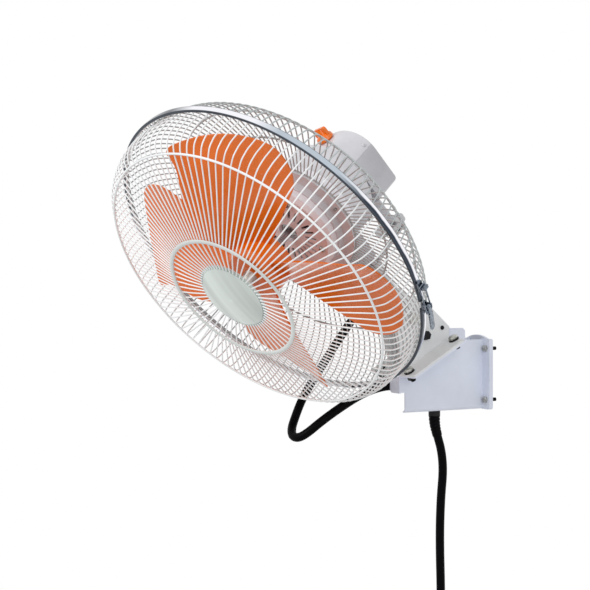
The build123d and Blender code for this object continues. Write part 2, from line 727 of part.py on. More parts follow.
pivot_out = 7.0             # lever pivot above the band
hook_pin_out = 8.0          # hook's pin on the lever
hook_pin_along = 8.0
hook_wire = 1.1
hook_half = 6.0
keeper_angle = latch_angle + 4.2
lever_angle = latch_angle - 3.6
LATCH = on_band(lever_angle)


def wire_path(points, radius):
    """Round wire bent through points."""
    shape = None
    for start, end in zip(points[:-1], points[1:]):
        line = Line(start, end)
        leg = extrude(Plane(origin=start, z_dir=line % 0) * Circle(radius), line.length)
        shape = leg if shape is None else shape + leg
    for point in points:
        shape += Pos(*point) * Sphere(radius)
    return shape


def latch_base():
    base = block(0.1, 2.4, -6, 12, -5, 5)
    base += block(0.1, 11, -4, 4, -4.6, -3.2) + block(0.1, 11, -4, 4, 3.2, 4.6)
    return base + rod(1.5, -4.6, 4.6, pivot_out, 0)


def latch_lever():
    lever = rod(3.1, -3, 3, pivot_out, 0) + block(pivot_out - 3, pivot_out + 3.4, 0, 12, -3, 3)
    handle = block(pivot_out + 1.4, pivot_out + 3.4, 11, 42, -4.5, 4.5)
    lever += fillet(handle.edges().filter_by(Axis.X).group_by(Axis.Y)[-1], 4)
    lever -= rod(1.5 + fit, -5, 5, pivot_out, 0)
    return lever - rod(hook_wire + fit, -5, 5, hook_pin_out, hook_pin_along)


def latch_hook():
    turn = math.radians(keeper_angle - lever_angle)
    out, along = band_radius + 5, -2.3
    bar_x = out * math.cos(turn) + along * math.sin(turn) - band_radius
    bar_y = -out * math.sin(turn) + along * math.cos(turn)
    near, far = (hook_pin_out, hook_pin_along), (bar_x, bar_y)
    corners = [(*near, -hook_half), (*near, hook_half), (*far, hook_half), (*far, -hook_half),
               (*near, -hook_half)]
    return wire_path(corners, hook_wire)


keep("latch_keeper", on_band(keeper_angle),
     block(0.1, 3, -7, 7, -4.5, 4.5) + block(3, 12, -1, 3, -4.5, 4.5) + block(10, 12, -2, 3, -4.5, 4.5))
keep("latch_base", LATCH, latch_base())
keep("latch_lever", LATCH, latch_lever())
keep("latch_hook", LATCH, latch_hook())

# ---- rotor: shaft, core, worm, impeller and its nut --------------------------------------------
worm_core = worm_radius - 0.6
worm_crest = worm_radius + 0.9
worm_half = 2.5 * worm_pitch
shaft_end = worm_z + worm_half + 1
core_bore = 3.0


def rotor_shaft():
    shaft = rod(shaft_radius, hub_front - 12, case_front + 3)
    return shaft + rod(core_bore, case_front + 3, shaft_end)


def worm():
    low = worm_z - 3 * worm_pitch
    line = Pos(0, 0, low) * Helix(worm_pitch, 5.5 * worm_pitch, worm_core - 0.2)
    foot = worm_core - 0.2
    rib = Polyline((foot, 0, low - 0.65), (worm_crest, 0, low - 0.35), (worm_crest, 0, low + 0.35),
                   (foot, 0, low + 0.65), close=True)
    thread = sweep(make_face(rib), path=line, is_frenet=True)
    return rod(worm_core, low - 1, shaft_end - 0.5) + thread - rod(core_bore, low - 2, shaft_end + 1)


def blade_section(x):
    """Thin curved section across the blade, x out from the axis."""
    share = (x - hub_radius) / (tip_radius - hub_radius)
    y1, z1 = -x * math.tan(math.radians(28)), -5 + 3 * share
    y2, z2 = 62 + 24 * math.sin(math.radians(90) * min(max(share, 0), 1)), -60 + 30 * share
    long = math.hypot(y2 - y1, z2 - z1)
    along = ((y2 - y1) / long, (z2 - z1) / long)
    up = (along[1], -along[0])
    y1, z1 = y1 - 12 * along[0], z1 - 12 * along[1]
    y2, z2 = y2 + 12 * along[0], z2 + 12 * along[1]
    bow = 0.10 * long
    middle = ((y1 + y2) / 2 - bow * up[0], (z1 + z2) / 2 - bow * up[1])
    front = [(y1, z1), middle, (y2, z2)]
    half = blade_sheet / 2
    near = [(x, -(y - half * up[0]), z - half * up[1]) for y, z in front]
    far = [(x, -(y + half * up[0]), z + half * up[1]) for y, z in front]
    return make_face(Wire([ThreePointArc(*near), Line(near[2], far[2]), ThreePointArc(*far[::-1]),
                           Line(far[0], near[0])]))


def blade_outline():
    lead = math.radians(26.7)
    root_lead = (30, 30 * math.tan(lead))
    tip_lead = (tip_radius * math.cos(lead), tip_radius * math.sin(lead))
    trail = math.radians(27)
    tip_trail = (tip_radius * math.cos(trail), -tip_radius * math.sin(trail))
    root_trail = (34, -34)
    edges = [Line(root_lead, tip_lead), ThreePointArc(tip_lead, (tip_radius, 0), tip_trail),
             Spline(tip_trail, (170, -87), (134, -84), (99, -78), root_trail), Line(root_trail, root_lead)]
    face = make_face(Wire(edges))
    corner = face.vertices().sort_by_distance((*tip_lead, 0))[0]
    face = fillet(corner, 48)
    corner = face.vertices().sort_by_distance((*tip_trail, 0))[0]
    return fillet(corner, 10)


def impeller():
    stations = (30, 75, 120, 165, 200, tip_radius + 4)
    sheet_solid = loft([blade_section(x) for x in stations])
    blade = sheet_solid & Pos(0, 0, -80) * extrude(blade_outline(), 140)
    hub = turned([(0, hub_front), (hub_radius - 8, hub_front), (hub_radius, hub_front + 8),
                  (hub_radius, hub_back), (hub_radius - 3, hub_back), (hub_radius - 3, hub_front + 9),
                  (hub_radius - 9, hub_front + 3), (13, hub_front + 3), (13, hub_back), (0, hub_back)])
    inside = rod(hub_radius - 3, hub_front + 3, hub_back + 30) - rod(13, hub_front, hub_back + 40)
    wheel = hub
    for i in range(blade_count):
        wheel += Rot(0, 0, -(first_blade + 360 * i / blade_count)) * (blade - inside)
    return wheel - rod(shaft_radius + slack / 10, hub_front - 1, hub_back + 1)


keep("rotor_shaft", FAN, rotor_shaft())
keep("rotor_core", FAN, pipe(core_radius, shaft_radius, core_front, core_back))
keep("worm", FAN, worm())
keep("impeller", FAN, impeller())
nut_bore = shaft_radius + slack / 3
keep("impeller_nut", FAN * Pos(0, 0, hub_front - 9),
     turned([(0, -6), (7, -5), (9, 0), (11, 9), (nut_bore, 9), (nut_bore, -3.2), (0, -3.2)]))

# ---- gears, crank and link ----------------------------------------------------------------------
wheel_post = case_bottom + case_wall + 3
keep("worm_wheel", FAN * WHEEL, Pos(0, 0, -3) * gear(wheel_teeth, wheel_radius, 0.8, 6, 2)
     + Pos(0, 0, -32) * gear(pinion_teeth, pinion_radius, 1.6, 12, 2, mesh_angle)
     + rod(3, wheel_post, 7))
keep("output_gear", FAN * UPRIGHT, Pos(0, 0, -30) * gear(output_teeth, output_radius, 1.6, 8, spindle + fit,
                                                         mesh_angle + 180 + 180 / output_teeth)
     + pipe(9, spindle + fit, -38, -29))

pin_x = link_eye_x * math.cos(math.radians(swing_rest))
pin_y = -link_eye_x * math.sin(math.radians(swing_rest))
crank_out = crank_z - axis_to_rim
eye_reach = math.hypot(pin_x, crank_out - pin_y)
eye_angle = math.degrees(math.atan2(pin_y - crank_out, pin_x))
crank_opening = math.degrees(math.acos(
    (eye_reach ** 2 + crank_radius ** 2 - link_length ** 2) / (2 * eye_reach * crank_radius)))
crank_angle = eye_angle + crank_opening
pin_at = Rot(0, 0, crank_angle) * Pos(crank_radius, 0, 0)
link_end = Pos(0, crank_out, 0) * pin_at
link_angle = math.degrees(math.atan2(link_end.position.Y - pin_y, link_end.position.X - pin_x))

keep("crank", FAN * UPRIGHT, rod(27, disc_low, disc_low + 7) + rod(spindle, disc_low + 3, case_top - 12)
     + pin_at * rod(4, link_low + link_thickness + slack, disc_low + 1))
bar = block(0, link_length, -6, 6, 0, link_thickness) + rod(8, 0, link_thickness)
bar += rod(8, 0, link_thickness, link_length)
bar -= rod(link_pin_radius + fit, -1, link_thickness + 1)
bar -= rod(4.6, -1, link_thickness + 1, link_length)
LINK = HEAD * Pos(pin_x, pin_y, link_low) * Rot(0, 0, link_angle)
keep("link_rod", LINK, bar)

# ---- junction box in the bracket ----------------------------------------------------------------
box_half = 16.0
box_front = -130.0
box_back = -62.0
box_low = -plate_half_height + sheet
box_high = -4.0
box_wall = 2.0
cord_gland_x = -12.0
cord_gland_z = -16.0
gland_radius = cord / 2 + 1.7
lead_end = -plate_half_height - 9


def junction_box():
    box = block(-box_half, box_half, box_front, box_back, box_low, box_high)
    box = fillet(box.edges().filter_by(Axis.Y).group_by(Axis.Z)[0], channel_bend - sheet)
    box -= block(-box_half + box_wall, box_half - box_wall, box_front + box_wall, box_back - box_wall,
                 box_low + box_wall, box_high + 1)
    box -= rod(cord / 2 + 0.3, box_low - 1, box_low + box_wall + 1, 0, lead_y)
    return box - rod_y(5, box_front - 1, box_front + box_wall + 1, cord_gland_x + 5, cord_gland_z)


keep("junction_box", Pos(0, 0, 0), junction_box())
keep("junction_cover", Pos(0, 0, 0), block(-box_half, box_half, box_front, box_back, box_high, box_high + 2))
keep("terminal_block", Pos(0, 0, 0), block(-9, 9, -122, -102, box_low + box_wall, box_low + box_wall + 14))
keep("capacitor", Pos(0, 0, 0), block(-12, 12, -74, -65, box_low + box_wall, box_high - 4))
keep("cord_gland", Pos(0, 0, 0),
     rod_y(gland_radius, box_front - 8, box_front, cord_gland_x, cord_gland_z))
keep("lead_gland", Pos(0, 0, 0), rod(lead_gland_radius - 0.1, -plate_half_height - 9, box_low, 0, lead_y)
     - rod(cord / 2 + 0.3, lead_end, box_low + 1, 0, lead_y))


# ---- cords --------------------------------------------------------------------------------------
def corner_radii(points):
    """Each bend is as large as its two runs allow."""
    radii = []
    for before, here, after in zip(points[:-2], points[1:-1], points[2:]):
        inward = Vector(*here) - Vector(*before)
        outward = Vector(*after) - Vector(*here)
        turn = math.radians(inward.get_angle(outward))
        radii.append(0.45 * min(inward.length, outward.length) / math.tan(turn / 2))
    return radii


def cord_tube(name, points):
    radii = corner_radii(points)
    path = FilletPolyline(*points, radius=radii)
    section = Plane(origin=path @ 0, z_dir=path % 0) * Circle(cord / 2)
    tube = sweep(section, path=path)
    ideal = math.pi * (cord / 2) ** 2 * path.length
    print(name, "length", round(path.length, 1), "least radius", round(min(radii), 1),
          "radii", [round(r) for r in radii], "volume share", round(tube.volume / ideal, 4))
    return tube


def place_of(vector):
    return (vector.X, vector.Y, vector.Z)


bush_end = exit_centre + BUSH_AXIS.normalized() * cord_start
motor_cord_route = [place_of(bush_end), (-43, -197.5, 104), (-62, -206, 87), (-76, -217, 62), (-88, -231, 34),
                    (-97, -248, 3), (-101, -264, -22), (-100, -278, -44), (-95, -291, -67),
                    (-87, -302, -84), (-74, -307, -95), (-60, -303, -96), (-50, -292, -87),
                    (-43, -274, -71), (-36, -244, -50), (-27, -206, -27), (-17.5, -177, -17),
                    (cord_gland_x, -153, cord_gland_z), (cord_gland_x, box_front - 8, cord_gland_z)]
lead_low = coil_z + cord
coil_y = -75.0
power_lead_route = [(0, lead_y, lead_end), (0, lead_y, -78), (1, -83, -98), (2, -75.5, -122), (2, -72, -155),
                    (0, -75.5, -200), (-1, -77, -265), (0, coil_y, -352), (0, coil_y, lead_low)]

keep("motor_cord", Pos(0, 0, 0), cord_tube("motor_cord", motor_cord_route))
keep("power_lead", Pos(0, 0, 0), cord_tube("power_lead", power_lead_route))


def coil_point(turns):
    """Centre line of the put-away coil, at a number of turns from its start."""
    angle = 2 * math.pi * turns
    late = max(0.0, turns - (coil_turns - 0.5)) * 2
    aside = (cord + coil_gap) * turns + 5 * late ** 2 * (3 - 2 * late)
    return Vector(-coil_radius + coil_radius * math.cos(angle), coil_y - aside,
                  coil_z - coil_radius * math.sin(angle))


def coil_direction(turns):
    if turns in (0, coil_turns):
        return Vector(0, 0, -1)
    return (coil_point(turns + 0.001) - coil_point(turns - 0.001)).normalized()


def biarc(start, start_way, end, end_way):
    """Two arcs that leave and arrive in the given directions."""
    span = end - start
    ways = start_way + end_way
    bend = 2 * (1 - start_way.dot(end_way))
    reach = (-span.dot(ways) + math.sqrt(span.dot(ways) ** 2 + bend * span.dot(span))) / bend
    middle = (start + start_way * reach + end - end_way * reach) * 0.5
    first = Edge.make_tangent_arc(start, start_way, middle)
    return [first, Edge.make_tangent_arc(middle, first % 1, end)]


def lead_coil():
    top = Vector(0, coil_y, lead_low)
    edges = [Edge.make_line(top, coil_point(0))]
    for i in range(4 * coil_turns):
        a, b = i / 4, (i + 1) / 4
        edges += biarc(coil_point(a), coil_direction(a), coil_point(b), coil_direction(b))
    end = coil_point(coil_turns)
    edges.append(Edge.make_line(end, end - Vector(0, 0, cord)))
    path = Wire(edges)
    section = Plane(origin=top, z_dir=(0, 0, -1)) * Circle(cord / 2)
    tube = sweep(section, path=path)
    samples = [path @ (i / 360) for i in range(361)]
    apart = path.length / 360
    least = min((a - b).length for i, a in enumerate(samples) for j, b in enumerate(samples)
                if (j - i) * apart > 3 * cord)
    ideal = math.pi * (cord / 2) ** 2 * path.length
    print("lead_coil length", round(path.length, 1), "gap", round(least - cord, 2),
          "volume share", round(tube.volume / ideal, 4))
    return tube


keep("lead_coil", Pos(0, 0, 0), lead_coil())
tie_y = coil_y - (cord + coil_gap) * (coil_turns / 2)
tie_half = (coil_turns * (cord + coil_gap)) / 2
tie = block(-2 * coil_radius - cord / 2 - 2, -2 * coil_radius + cord / 2 + 2, tie_y - tie_half - 2,
            tie_y + tie_half + 2, coil_z - 6, coil_z + 6)
tie -= block(-2 * coil_radius - cord / 2 - 0.5, -2 * coil_radius + cord / 2 + 0.6, tie_y - tie_half - 0.4,
             tie_y + tie_half + 0.4, coil_z - 7, coil_z + 7)
keep("coil_tie", Pos(0, 0, 0), tie)
plug_at = coil_point(coil_turns) - Vector(0, 0, cord)
PLUG = Pos(plug_at.X, plug_at.Y, plug_at.Z)


def plug_body():
    neck_part = rod(cord / 2 + 1.5, -8, 0)
    body = Pos(0, 0, -8) * Rot(180, 0, 0) * extrude(RectangleRounded(30, 18, 5), 30)
    return neck_part + fillet(body.faces().sort_by(Axis.Z)[-1].edges(), 3)


keep("plug_body", PLUG, plug_body())
keep("plug_pins", PLUG, [block(x - 0.8, x + 0.8, -3.2, 3.2, -55, -38) for x in (-6.35, 6.35)])

for name, solids in nodes.items():
    whole = solids[0] if len(solids) == 1 else Compound(children=solids)
    whole.label = name
    export_step(whole, "parts/" + name + ".step")

# ---- joint axes, for the record ----------------------------------------------------------------
def axis_of(frame, direction):
    tip = (frame * Pos(*direction)).position - frame.position
    return [round(v, 6) for v in (tip.X, tip.Y, tip.Z)]


def metres(vector):
    return [round(v / 1000, 6) for v in (vector.X, vector.Y, vector.Z)]


print("tilt", metres(NECK.position), [1, 0, 0])
print("swing", metres(HEAD.position), axis_of(HEAD, (0, 0, 1)))
print("spin", metres(HEAD.position), axis_of(FAN, (0, 0, -1)))
print("worm wheel", metres((FAN * WHEEL).position), axis_of(HEAD, (0, 0, 1)))
print("crank", metres((FAN * UPRIGHT).position), axis_of(HEAD, (0, 0, 1)))
print("link", metres(LINK.position), axis_of(HEAD, (0, 0, 1)))
print("lever", metres((LATCH * Pos(pivot_out, 0, 0)).position), axis_of(LATCH, (0, 0, -1)))
print("hook", metres((LATCH * Pos(hook_pin_out, hook_pin_along, 0)).position), axis_of(LATCH, (0, 0, -1)))
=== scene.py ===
"""A wall mounted fan: guards, cords, small fittings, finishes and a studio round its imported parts."""

import json
import math

import bpy
from bpy.props import FloatProperty, FloatVectorProperty, IntProperty, PointerProperty
from bpy.types import Operator, Panel, PropertyGroup
from mathutils import Color, Matrix, Vector


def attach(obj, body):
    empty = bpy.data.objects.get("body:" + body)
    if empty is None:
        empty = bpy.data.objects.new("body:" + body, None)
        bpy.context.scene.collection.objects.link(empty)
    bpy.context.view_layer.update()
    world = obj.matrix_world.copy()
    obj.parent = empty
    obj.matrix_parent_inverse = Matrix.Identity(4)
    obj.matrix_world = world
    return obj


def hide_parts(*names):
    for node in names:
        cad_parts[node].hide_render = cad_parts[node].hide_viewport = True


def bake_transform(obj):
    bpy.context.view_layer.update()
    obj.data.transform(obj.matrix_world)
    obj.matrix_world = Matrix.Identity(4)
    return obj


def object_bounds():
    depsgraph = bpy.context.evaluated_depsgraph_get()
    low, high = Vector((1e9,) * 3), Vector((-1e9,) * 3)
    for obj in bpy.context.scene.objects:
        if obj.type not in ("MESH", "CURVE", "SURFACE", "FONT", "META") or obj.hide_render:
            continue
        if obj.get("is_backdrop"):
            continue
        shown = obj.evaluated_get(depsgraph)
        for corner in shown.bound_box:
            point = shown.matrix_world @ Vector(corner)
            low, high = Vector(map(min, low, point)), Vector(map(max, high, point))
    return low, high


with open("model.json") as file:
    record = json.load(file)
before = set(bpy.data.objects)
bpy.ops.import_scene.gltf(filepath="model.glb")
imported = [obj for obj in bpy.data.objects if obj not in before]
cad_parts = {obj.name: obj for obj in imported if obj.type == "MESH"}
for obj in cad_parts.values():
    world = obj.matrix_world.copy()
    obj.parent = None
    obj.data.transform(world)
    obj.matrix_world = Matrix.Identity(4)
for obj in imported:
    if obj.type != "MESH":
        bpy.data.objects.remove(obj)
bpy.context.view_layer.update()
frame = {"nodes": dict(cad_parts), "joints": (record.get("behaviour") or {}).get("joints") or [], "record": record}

bl_info = {
    "name": "Wall mounted fan",
    "version": (1, 0, 0),
    "blender": (4, 5, 0),
    "location": "View3D > Sidebar > Fan",
    "description": "Builds the guards, cords, fittings and finishes of a tilting, swinging wall fan",
    "category": "Add Mesh",
}

# ---- places, all in metres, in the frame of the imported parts
JOINTS = {joint["name"]: joint for joint in frame["joints"]}
SWING_AXIS = Vector(JOINTS["swing"]["axis"])           # up the neck
FAN_AXIS = Vector(JOINTS["rotor_spin"]["axis"])        # out through the badge
FAN_SIDE = SWING_AXIS.cross(FAN_AXIS)
FAN_CENTRE = Vector(JOINTS["rotor_spin"]["pos_m"])     # where the swing axis meets the fan's axis
AXIS_TO_RIM = 0.140                                    # from there to the front edge of the clamp band
BAND_WIDTH = 0.010

# Fan frame: x sideways, y down, z rearwards from the front edge of the clamp band.
FAN = Matrix((FAN_SIDE, -SWING_AXIS, -FAN_AXIS)).transposed().to_4x4()
FAN.translation = FAN_CENTRE + FAN_AXIS * AXIS_TO_RIM
# Wall frame: z away from the wall, y up.  Seat frame: z up out of the sloping seat, y up its slope.
SEAT_CENTRE = (0, -0.120, 0.0302)
SEAT_SLOPE = math.radians(30)
WALL = Matrix.Rotation(math.pi / 2, 4, "X")
SEAT = Matrix.Translation(SEAT_CENTRE) @ Matrix.Rotation(SEAT_SLOPE, 4, "X")


def four_corners(half_width, half_height):
    return [(side * half_width, high * half_height) for side in (-1, 1) for high in (-1, 1)]


WALL_STUDS = four_corners(0.028, 0.0415)
SEAT_BOLTS = four_corners(0.042, 0.0484)

TOUCHING = 1e-6             # vertices nearer than this are one
HOOP_STEPS = 160            # round a hoop or ring
WIRE_SIDES = 8
CORD_DIAMETER = 0.014
CORD_STEPS = 8              # from one control point of a cord to the next
CORD_ROUNDNESS = 6          # bevel resolution of the cords and their strain reliefs
MOTOR_CORD_ROUTE = (
    (-0.02339, -0.19362, 0.12147), (-0.043, -0.1975, 0.104), (-0.062, -0.206, 0.087),
    (-0.076, -0.217, 0.062), (-0.088, -0.231, 0.034), (-0.097, -0.248, 0.003),
    (-0.101, -0.264, -0.022), (-0.100, -0.278, -0.044), (-0.095, -0.291, -0.067),
    (-0.087, -0.302, -0.084), (-0.074, -0.307, -0.095), (-0.060, -0.303, -0.096),
    (-0.050, -0.292, -0.087), (-0.043, -0.274, -0.071), (-0.036, -0.244, -0.050),
    (-0.027, -0.206, -0.027), (-0.0175, -0.177, -0.017), (-0.012, -0.153, -0.016),
    (-0.012, -0.138, -0.016))
POWER_LEAD_ROUTE = (
    (0.0, -0.088, -0.066), (0.0, -0.088, -0.078), (0.001, -0.083, -0.098), (0.002, -0.0755, -0.122),
    (0.002, -0.072, -0.155), (0.0, -0.0755, -0.200), (-0.001, -0.077, -0.265), (0.0, -0.075, -0.352),
    (0.0, -0.075, -0.440))
COIL_RADIUS = 0.077
COIL_TURNS = 3
COIL_STEP = 0.015           # sideways from one turn to the next
COIL_LAST_STEP = 0.005      # further aside over the last half turn
COIL_START = Vector((0.0, -0.075, -0.454))
COIL_POINTS_PER_TURN = 16


# ---- what a user would change
def metres(name, description, default):
    return FloatProperty(name=name, description=description, default=default, min=0.0, subtype="DISTANCE",
                         unit="LENGTH", precision=4)


def whole_number(name, description, default):
    return IntProperty(name=name, description=description, default=default, min=3)


def paint(name, description, red, green, blue):
    return FloatVectorProperty(name=name, description=description, default=(red, green, blue), size=3,
                               min=0.0, max=1.0, subtype="COLOR_GAMMA")


class FanSizes(PropertyGroup):
    """Sizes of the pieces made here."""
    spoke_wire: metres("Spoke wire", "Thickness of the guards' radial wires", 0.0021)
    hoop_wire: metres("Hoop wire", "Thickness of the guards' hoops", 0.0032)
    front_spokes: whole_number("Front spokes", "Radial wires in the front guard", 120)
    rear_spokes: whole_number("Rear spokes", "Radial wires in the rear guard", 120)
    relief_length: metres("Strain relief", "Length of the tapered sleeve on each cord", 0.034)
    lens: FloatProperty(name="Lens", description="The camera's focal length in millimetres", default=70.0)


class FanColours(PropertyGroup):
    """Colours as they look on the finished surface."""
    guard: paint("Guard", "Powder coat of the front guard's wires", 0.95, 0.96, 0.965)
    badge: paint("Badge", "Pale centre disc", 0.815, 0.85, 0.83)
    impeller: paint("Impeller", "Moulded blades and knob", 0.94, 0.45, 0.02)
    housing_light: paint("Light housing", "Enamel of gear cover and motor's rear shell", 0.86, 0.86, 0.88)
    housing_grey: paint("Grey housing", "Enamel of gear case and swivel bracket", 0.76, 0.76, 0.78)
    bracket: paint("Bracket", "Powder coat of wall bracket and plate", 0.90, 0.92, 0.975)
    yoke: paint("Yoke", "Powder coat of the tilt yoke and neck", 0.90, 0.91, 0.915)
    cord: paint("Cord", "Sheath of both cords", 0.008, 0.007, 0.014)
    floor: paint("Floor", "Studio floor", 0.93, 0.93, 0.93)


# ---- nodes of a finish
def linear(colour):
    return (*Color(colour).from_srgb_to_scene_linear(), 1.0)


def set_inputs(node, values):
    for socket, value in values.items():
        node.inputs[socket].default_value = value


def new_finish(name, colour, roughness, metallic=0.0):
    """A material with its shader's plain values set; returns it with its tree and shader."""
    finish = bpy.data.materials.new(name)
    finish.use_nodes = True
    finish.diffuse_color = linear(colour)
    shader = finish.node_tree.nodes["Principled BSDF"]
    set_inputs(shader, {"Base Color": linear(colour), "Roughness": roughness, "Metallic": metallic})
    return finish, finish.node_tree, shader


def add_node(tree, kind, **settings):
    node = tree.nodes.new(kind)
    for setting, value in settings.items():
        setattr(node, setting, value)
    return node


def object_point(tree, stretch=(1.0, 1.0, 1.0), frame_matrix=None):
    """Object coordinates, turned into a piece's own frame and stretched along its axes."""
    here = add_node(tree, "ShaderNodeTexCoord").outputs["Object"]
    if frame_matrix is not None:
        turn = add_node(tree, "ShaderNodeMapping", vector_type="TEXTURE")
        set_inputs(turn, {"Location": frame_matrix.to_translation(), "Rotation": frame_matrix.to_euler()})
        tree.links.new(here, turn.inputs["Vector"])
        here = turn.outputs["Vector"]
    scale = add_node(tree, "ShaderNodeMapping")
    set_inputs(scale, {"Scale": stretch})
    tree.links.new(here, scale.inputs["Vector"])
    return scale.outputs["Vector"]


def add_noise(tree, point, scale, detail, roughness=0.5):
    noise = add_node(tree, "ShaderNodeTexNoise")
    set_inputs(noise, {"Scale": scale, "Detail": detail, "Roughness": roughness})
    tree.links.new(point, noise.inputs["Vector"])
    return noise.outputs["Fac"]


def add_range(tree, value, from_low, from_high, to_low, to_high):
    spread = add_node(tree, "ShaderNodeMapRange")
    set_inputs(spread, {"From Min": from_low, "From Max": from_high, "To Min": to_low, "To Max": to_high})
    tree.links.new(value, spread.inputs["Value"])
    return spread.outputs["Result"]


def add_step(tree, value, start, end):
    """0 up to the start, 1 from the end on."""
    return add_range(tree, value, start, end, 0.0, 1.0)


def spread_noise(tree, noise, low=0.0, high=1.0):
    """A noise keeps to the middle of its range; this spreads that middle from low to high."""
    return add_range(tree, noise, 0.3, 0.7, low, high)


def add_math(tree, operation, *values, **settings):
    """A Math node on numbers or other nodes' outputs."""
    node = add_node(tree, "ShaderNodeMath", operation=operation, **settings)
    for socket, value in zip(node.inputs, values):
        if isinstance(value, float):
            socket.default_value = value
        else:
            tree.links.new(value, socket)
    return node.outputs["Value"]


def mix_colours(tree, factor, *colours):
    """Goes from one colour to the other with the factor; each is a plain colour or a node's output."""
    mix = add_node(tree, "ShaderNodeMix", data_type="RGBA")
    tree.links.new(factor, mix.inputs[0])
    sockets = [socket for socket in mix.inputs if socket.type == "RGBA"]
    for socket, colour in zip(sockets, colours):
        if isinstance(colour, tuple):
            socket.default_value = colour
        else:
            tree.links.new(colour, socket)
    return next(socket for socket in mix.outputs if socket.type == "RGBA")


def add_bump(tree, shader, height, strength, depth):
    bump = add_node(tree, "ShaderNodeBump")
    set_inputs(bump, {"Strength": strength, "Distance": depth})
    tree.links.new(height, bump.inputs["Height"])
    tree.links.new(bump.outputs["Normal"], shader.inputs["Normal"])


def shade(colour, brightness):
    return linear([min(1.0, channel * brightness) for channel in colour])


def vary_tone(tree, shader, factor, colour, low, high):
    """The base colour goes from one brightness of the colour to the other with the factor."""
    mixed = mix_colours(tree, factor, shade(colour, low), shade(colour, high))
    tree.links.new(mixed, shader.inputs["Base Color"])


def vary_gloss(tree, shader, noise, low, high):
    """The roughness wanders between low and high with the noise."""
    tree.links.new(spread_noise(tree, noise, low, high), shader.inputs["Roughness"])


# ---- finishes
def powder_coat(name, colour, roughness):
    """Baked powder: faint orange peel, slightly uneven in tone and gloss."""
    finish, tree, shader = new_finish(name, colour, roughness)
    point = object_point(tree)
    cloud = spread_noise(tree, add_noise(tree, point, scale=14.0, detail=3.0))
    vary_tone(tree, shader, cloud, colour, 0.96, 1.02)
    wear = add_noise(tree, point, scale=60.0, detail=3.0)
    vary_gloss(tree, shader, wear, roughness - 0.06, roughness + 0.08)
    add_bump(tree, shader, add_noise(tree, point, scale=900.0, detail=1.0), strength=0.25, depth=0.0003)
    return finish


def enamel(name, colour):
    """Sprayed gloss enamel: a thin clear coat, slight orange peel and a faintly clouded tone."""
    finish, tree, shader = new_finish(name, colour, 0.28)
    set_inputs(shader, {"Coat Weight": 0.25, "Coat Roughness": 0.12})
    point = object_point(tree)
    cloud = spread_noise(tree, add_noise(tree, point, scale=22.0, detail=4.0))
    vary_tone(tree, shader, cloud, colour, 0.94, 1.02)
    add_bump(tree, shader, add_noise(tree, point, scale=420.0, detail=2.0), strength=0.3, depth=0.0004)
    return finish


def glossy_moulding(name, colour):
    """Bright injection moulding with a fine skin and slight flow marks."""
    finish, tree, shader = new_finish(name, colour, 0.25)
    set_inputs(shader, {"Coat Weight": 0.15, "Coat Roughness": 0.08, "Subsurface Weight": 0.05,
                        "Subsurface Radius": (0.004, 0.0015, 0.0006)})
    point = object_point(tree)
    flow = spread_noise(tree, add_noise(tree, point, scale=9.0, detail=3.0, roughness=0.6))
    vary_tone(tree, shader, flow, colour, 0.93, 1.03)
    vary_gloss(tree, shader, add_noise(tree, point, scale=45.0, detail=3.0), 0.20, 0.32)
    add_bump(tree, shader, add_noise(tree, point, scale=500.0, detail=1.0), strength=0.12, depth=0.0002)
    return finish


def badge_plastic(name, colour):
    """Satin disc with soft upright streaks of light and dark."""
    finish, tree, shader = new_finish(name, colour, 0.3)
    set_inputs(shader, {"Coat Weight": 0.4, "Coat Roughness": 0.15})
    point = object_point(tree, stretch=(1.0, 0.08, 0.5), frame_matrix=FAN)
    streak = spread_noise(tree, add_noise(tree, point, scale=34.0, detail=2.0))
    vary_tone(tree, shader, streak, colour, 0.90, 1.10)
    skin = add_noise(tree, object_point(tree), scale=700.0, detail=1.0)
    add_bump(tree, shader, skin, strength=0.12, depth=0.0002)
    return finish


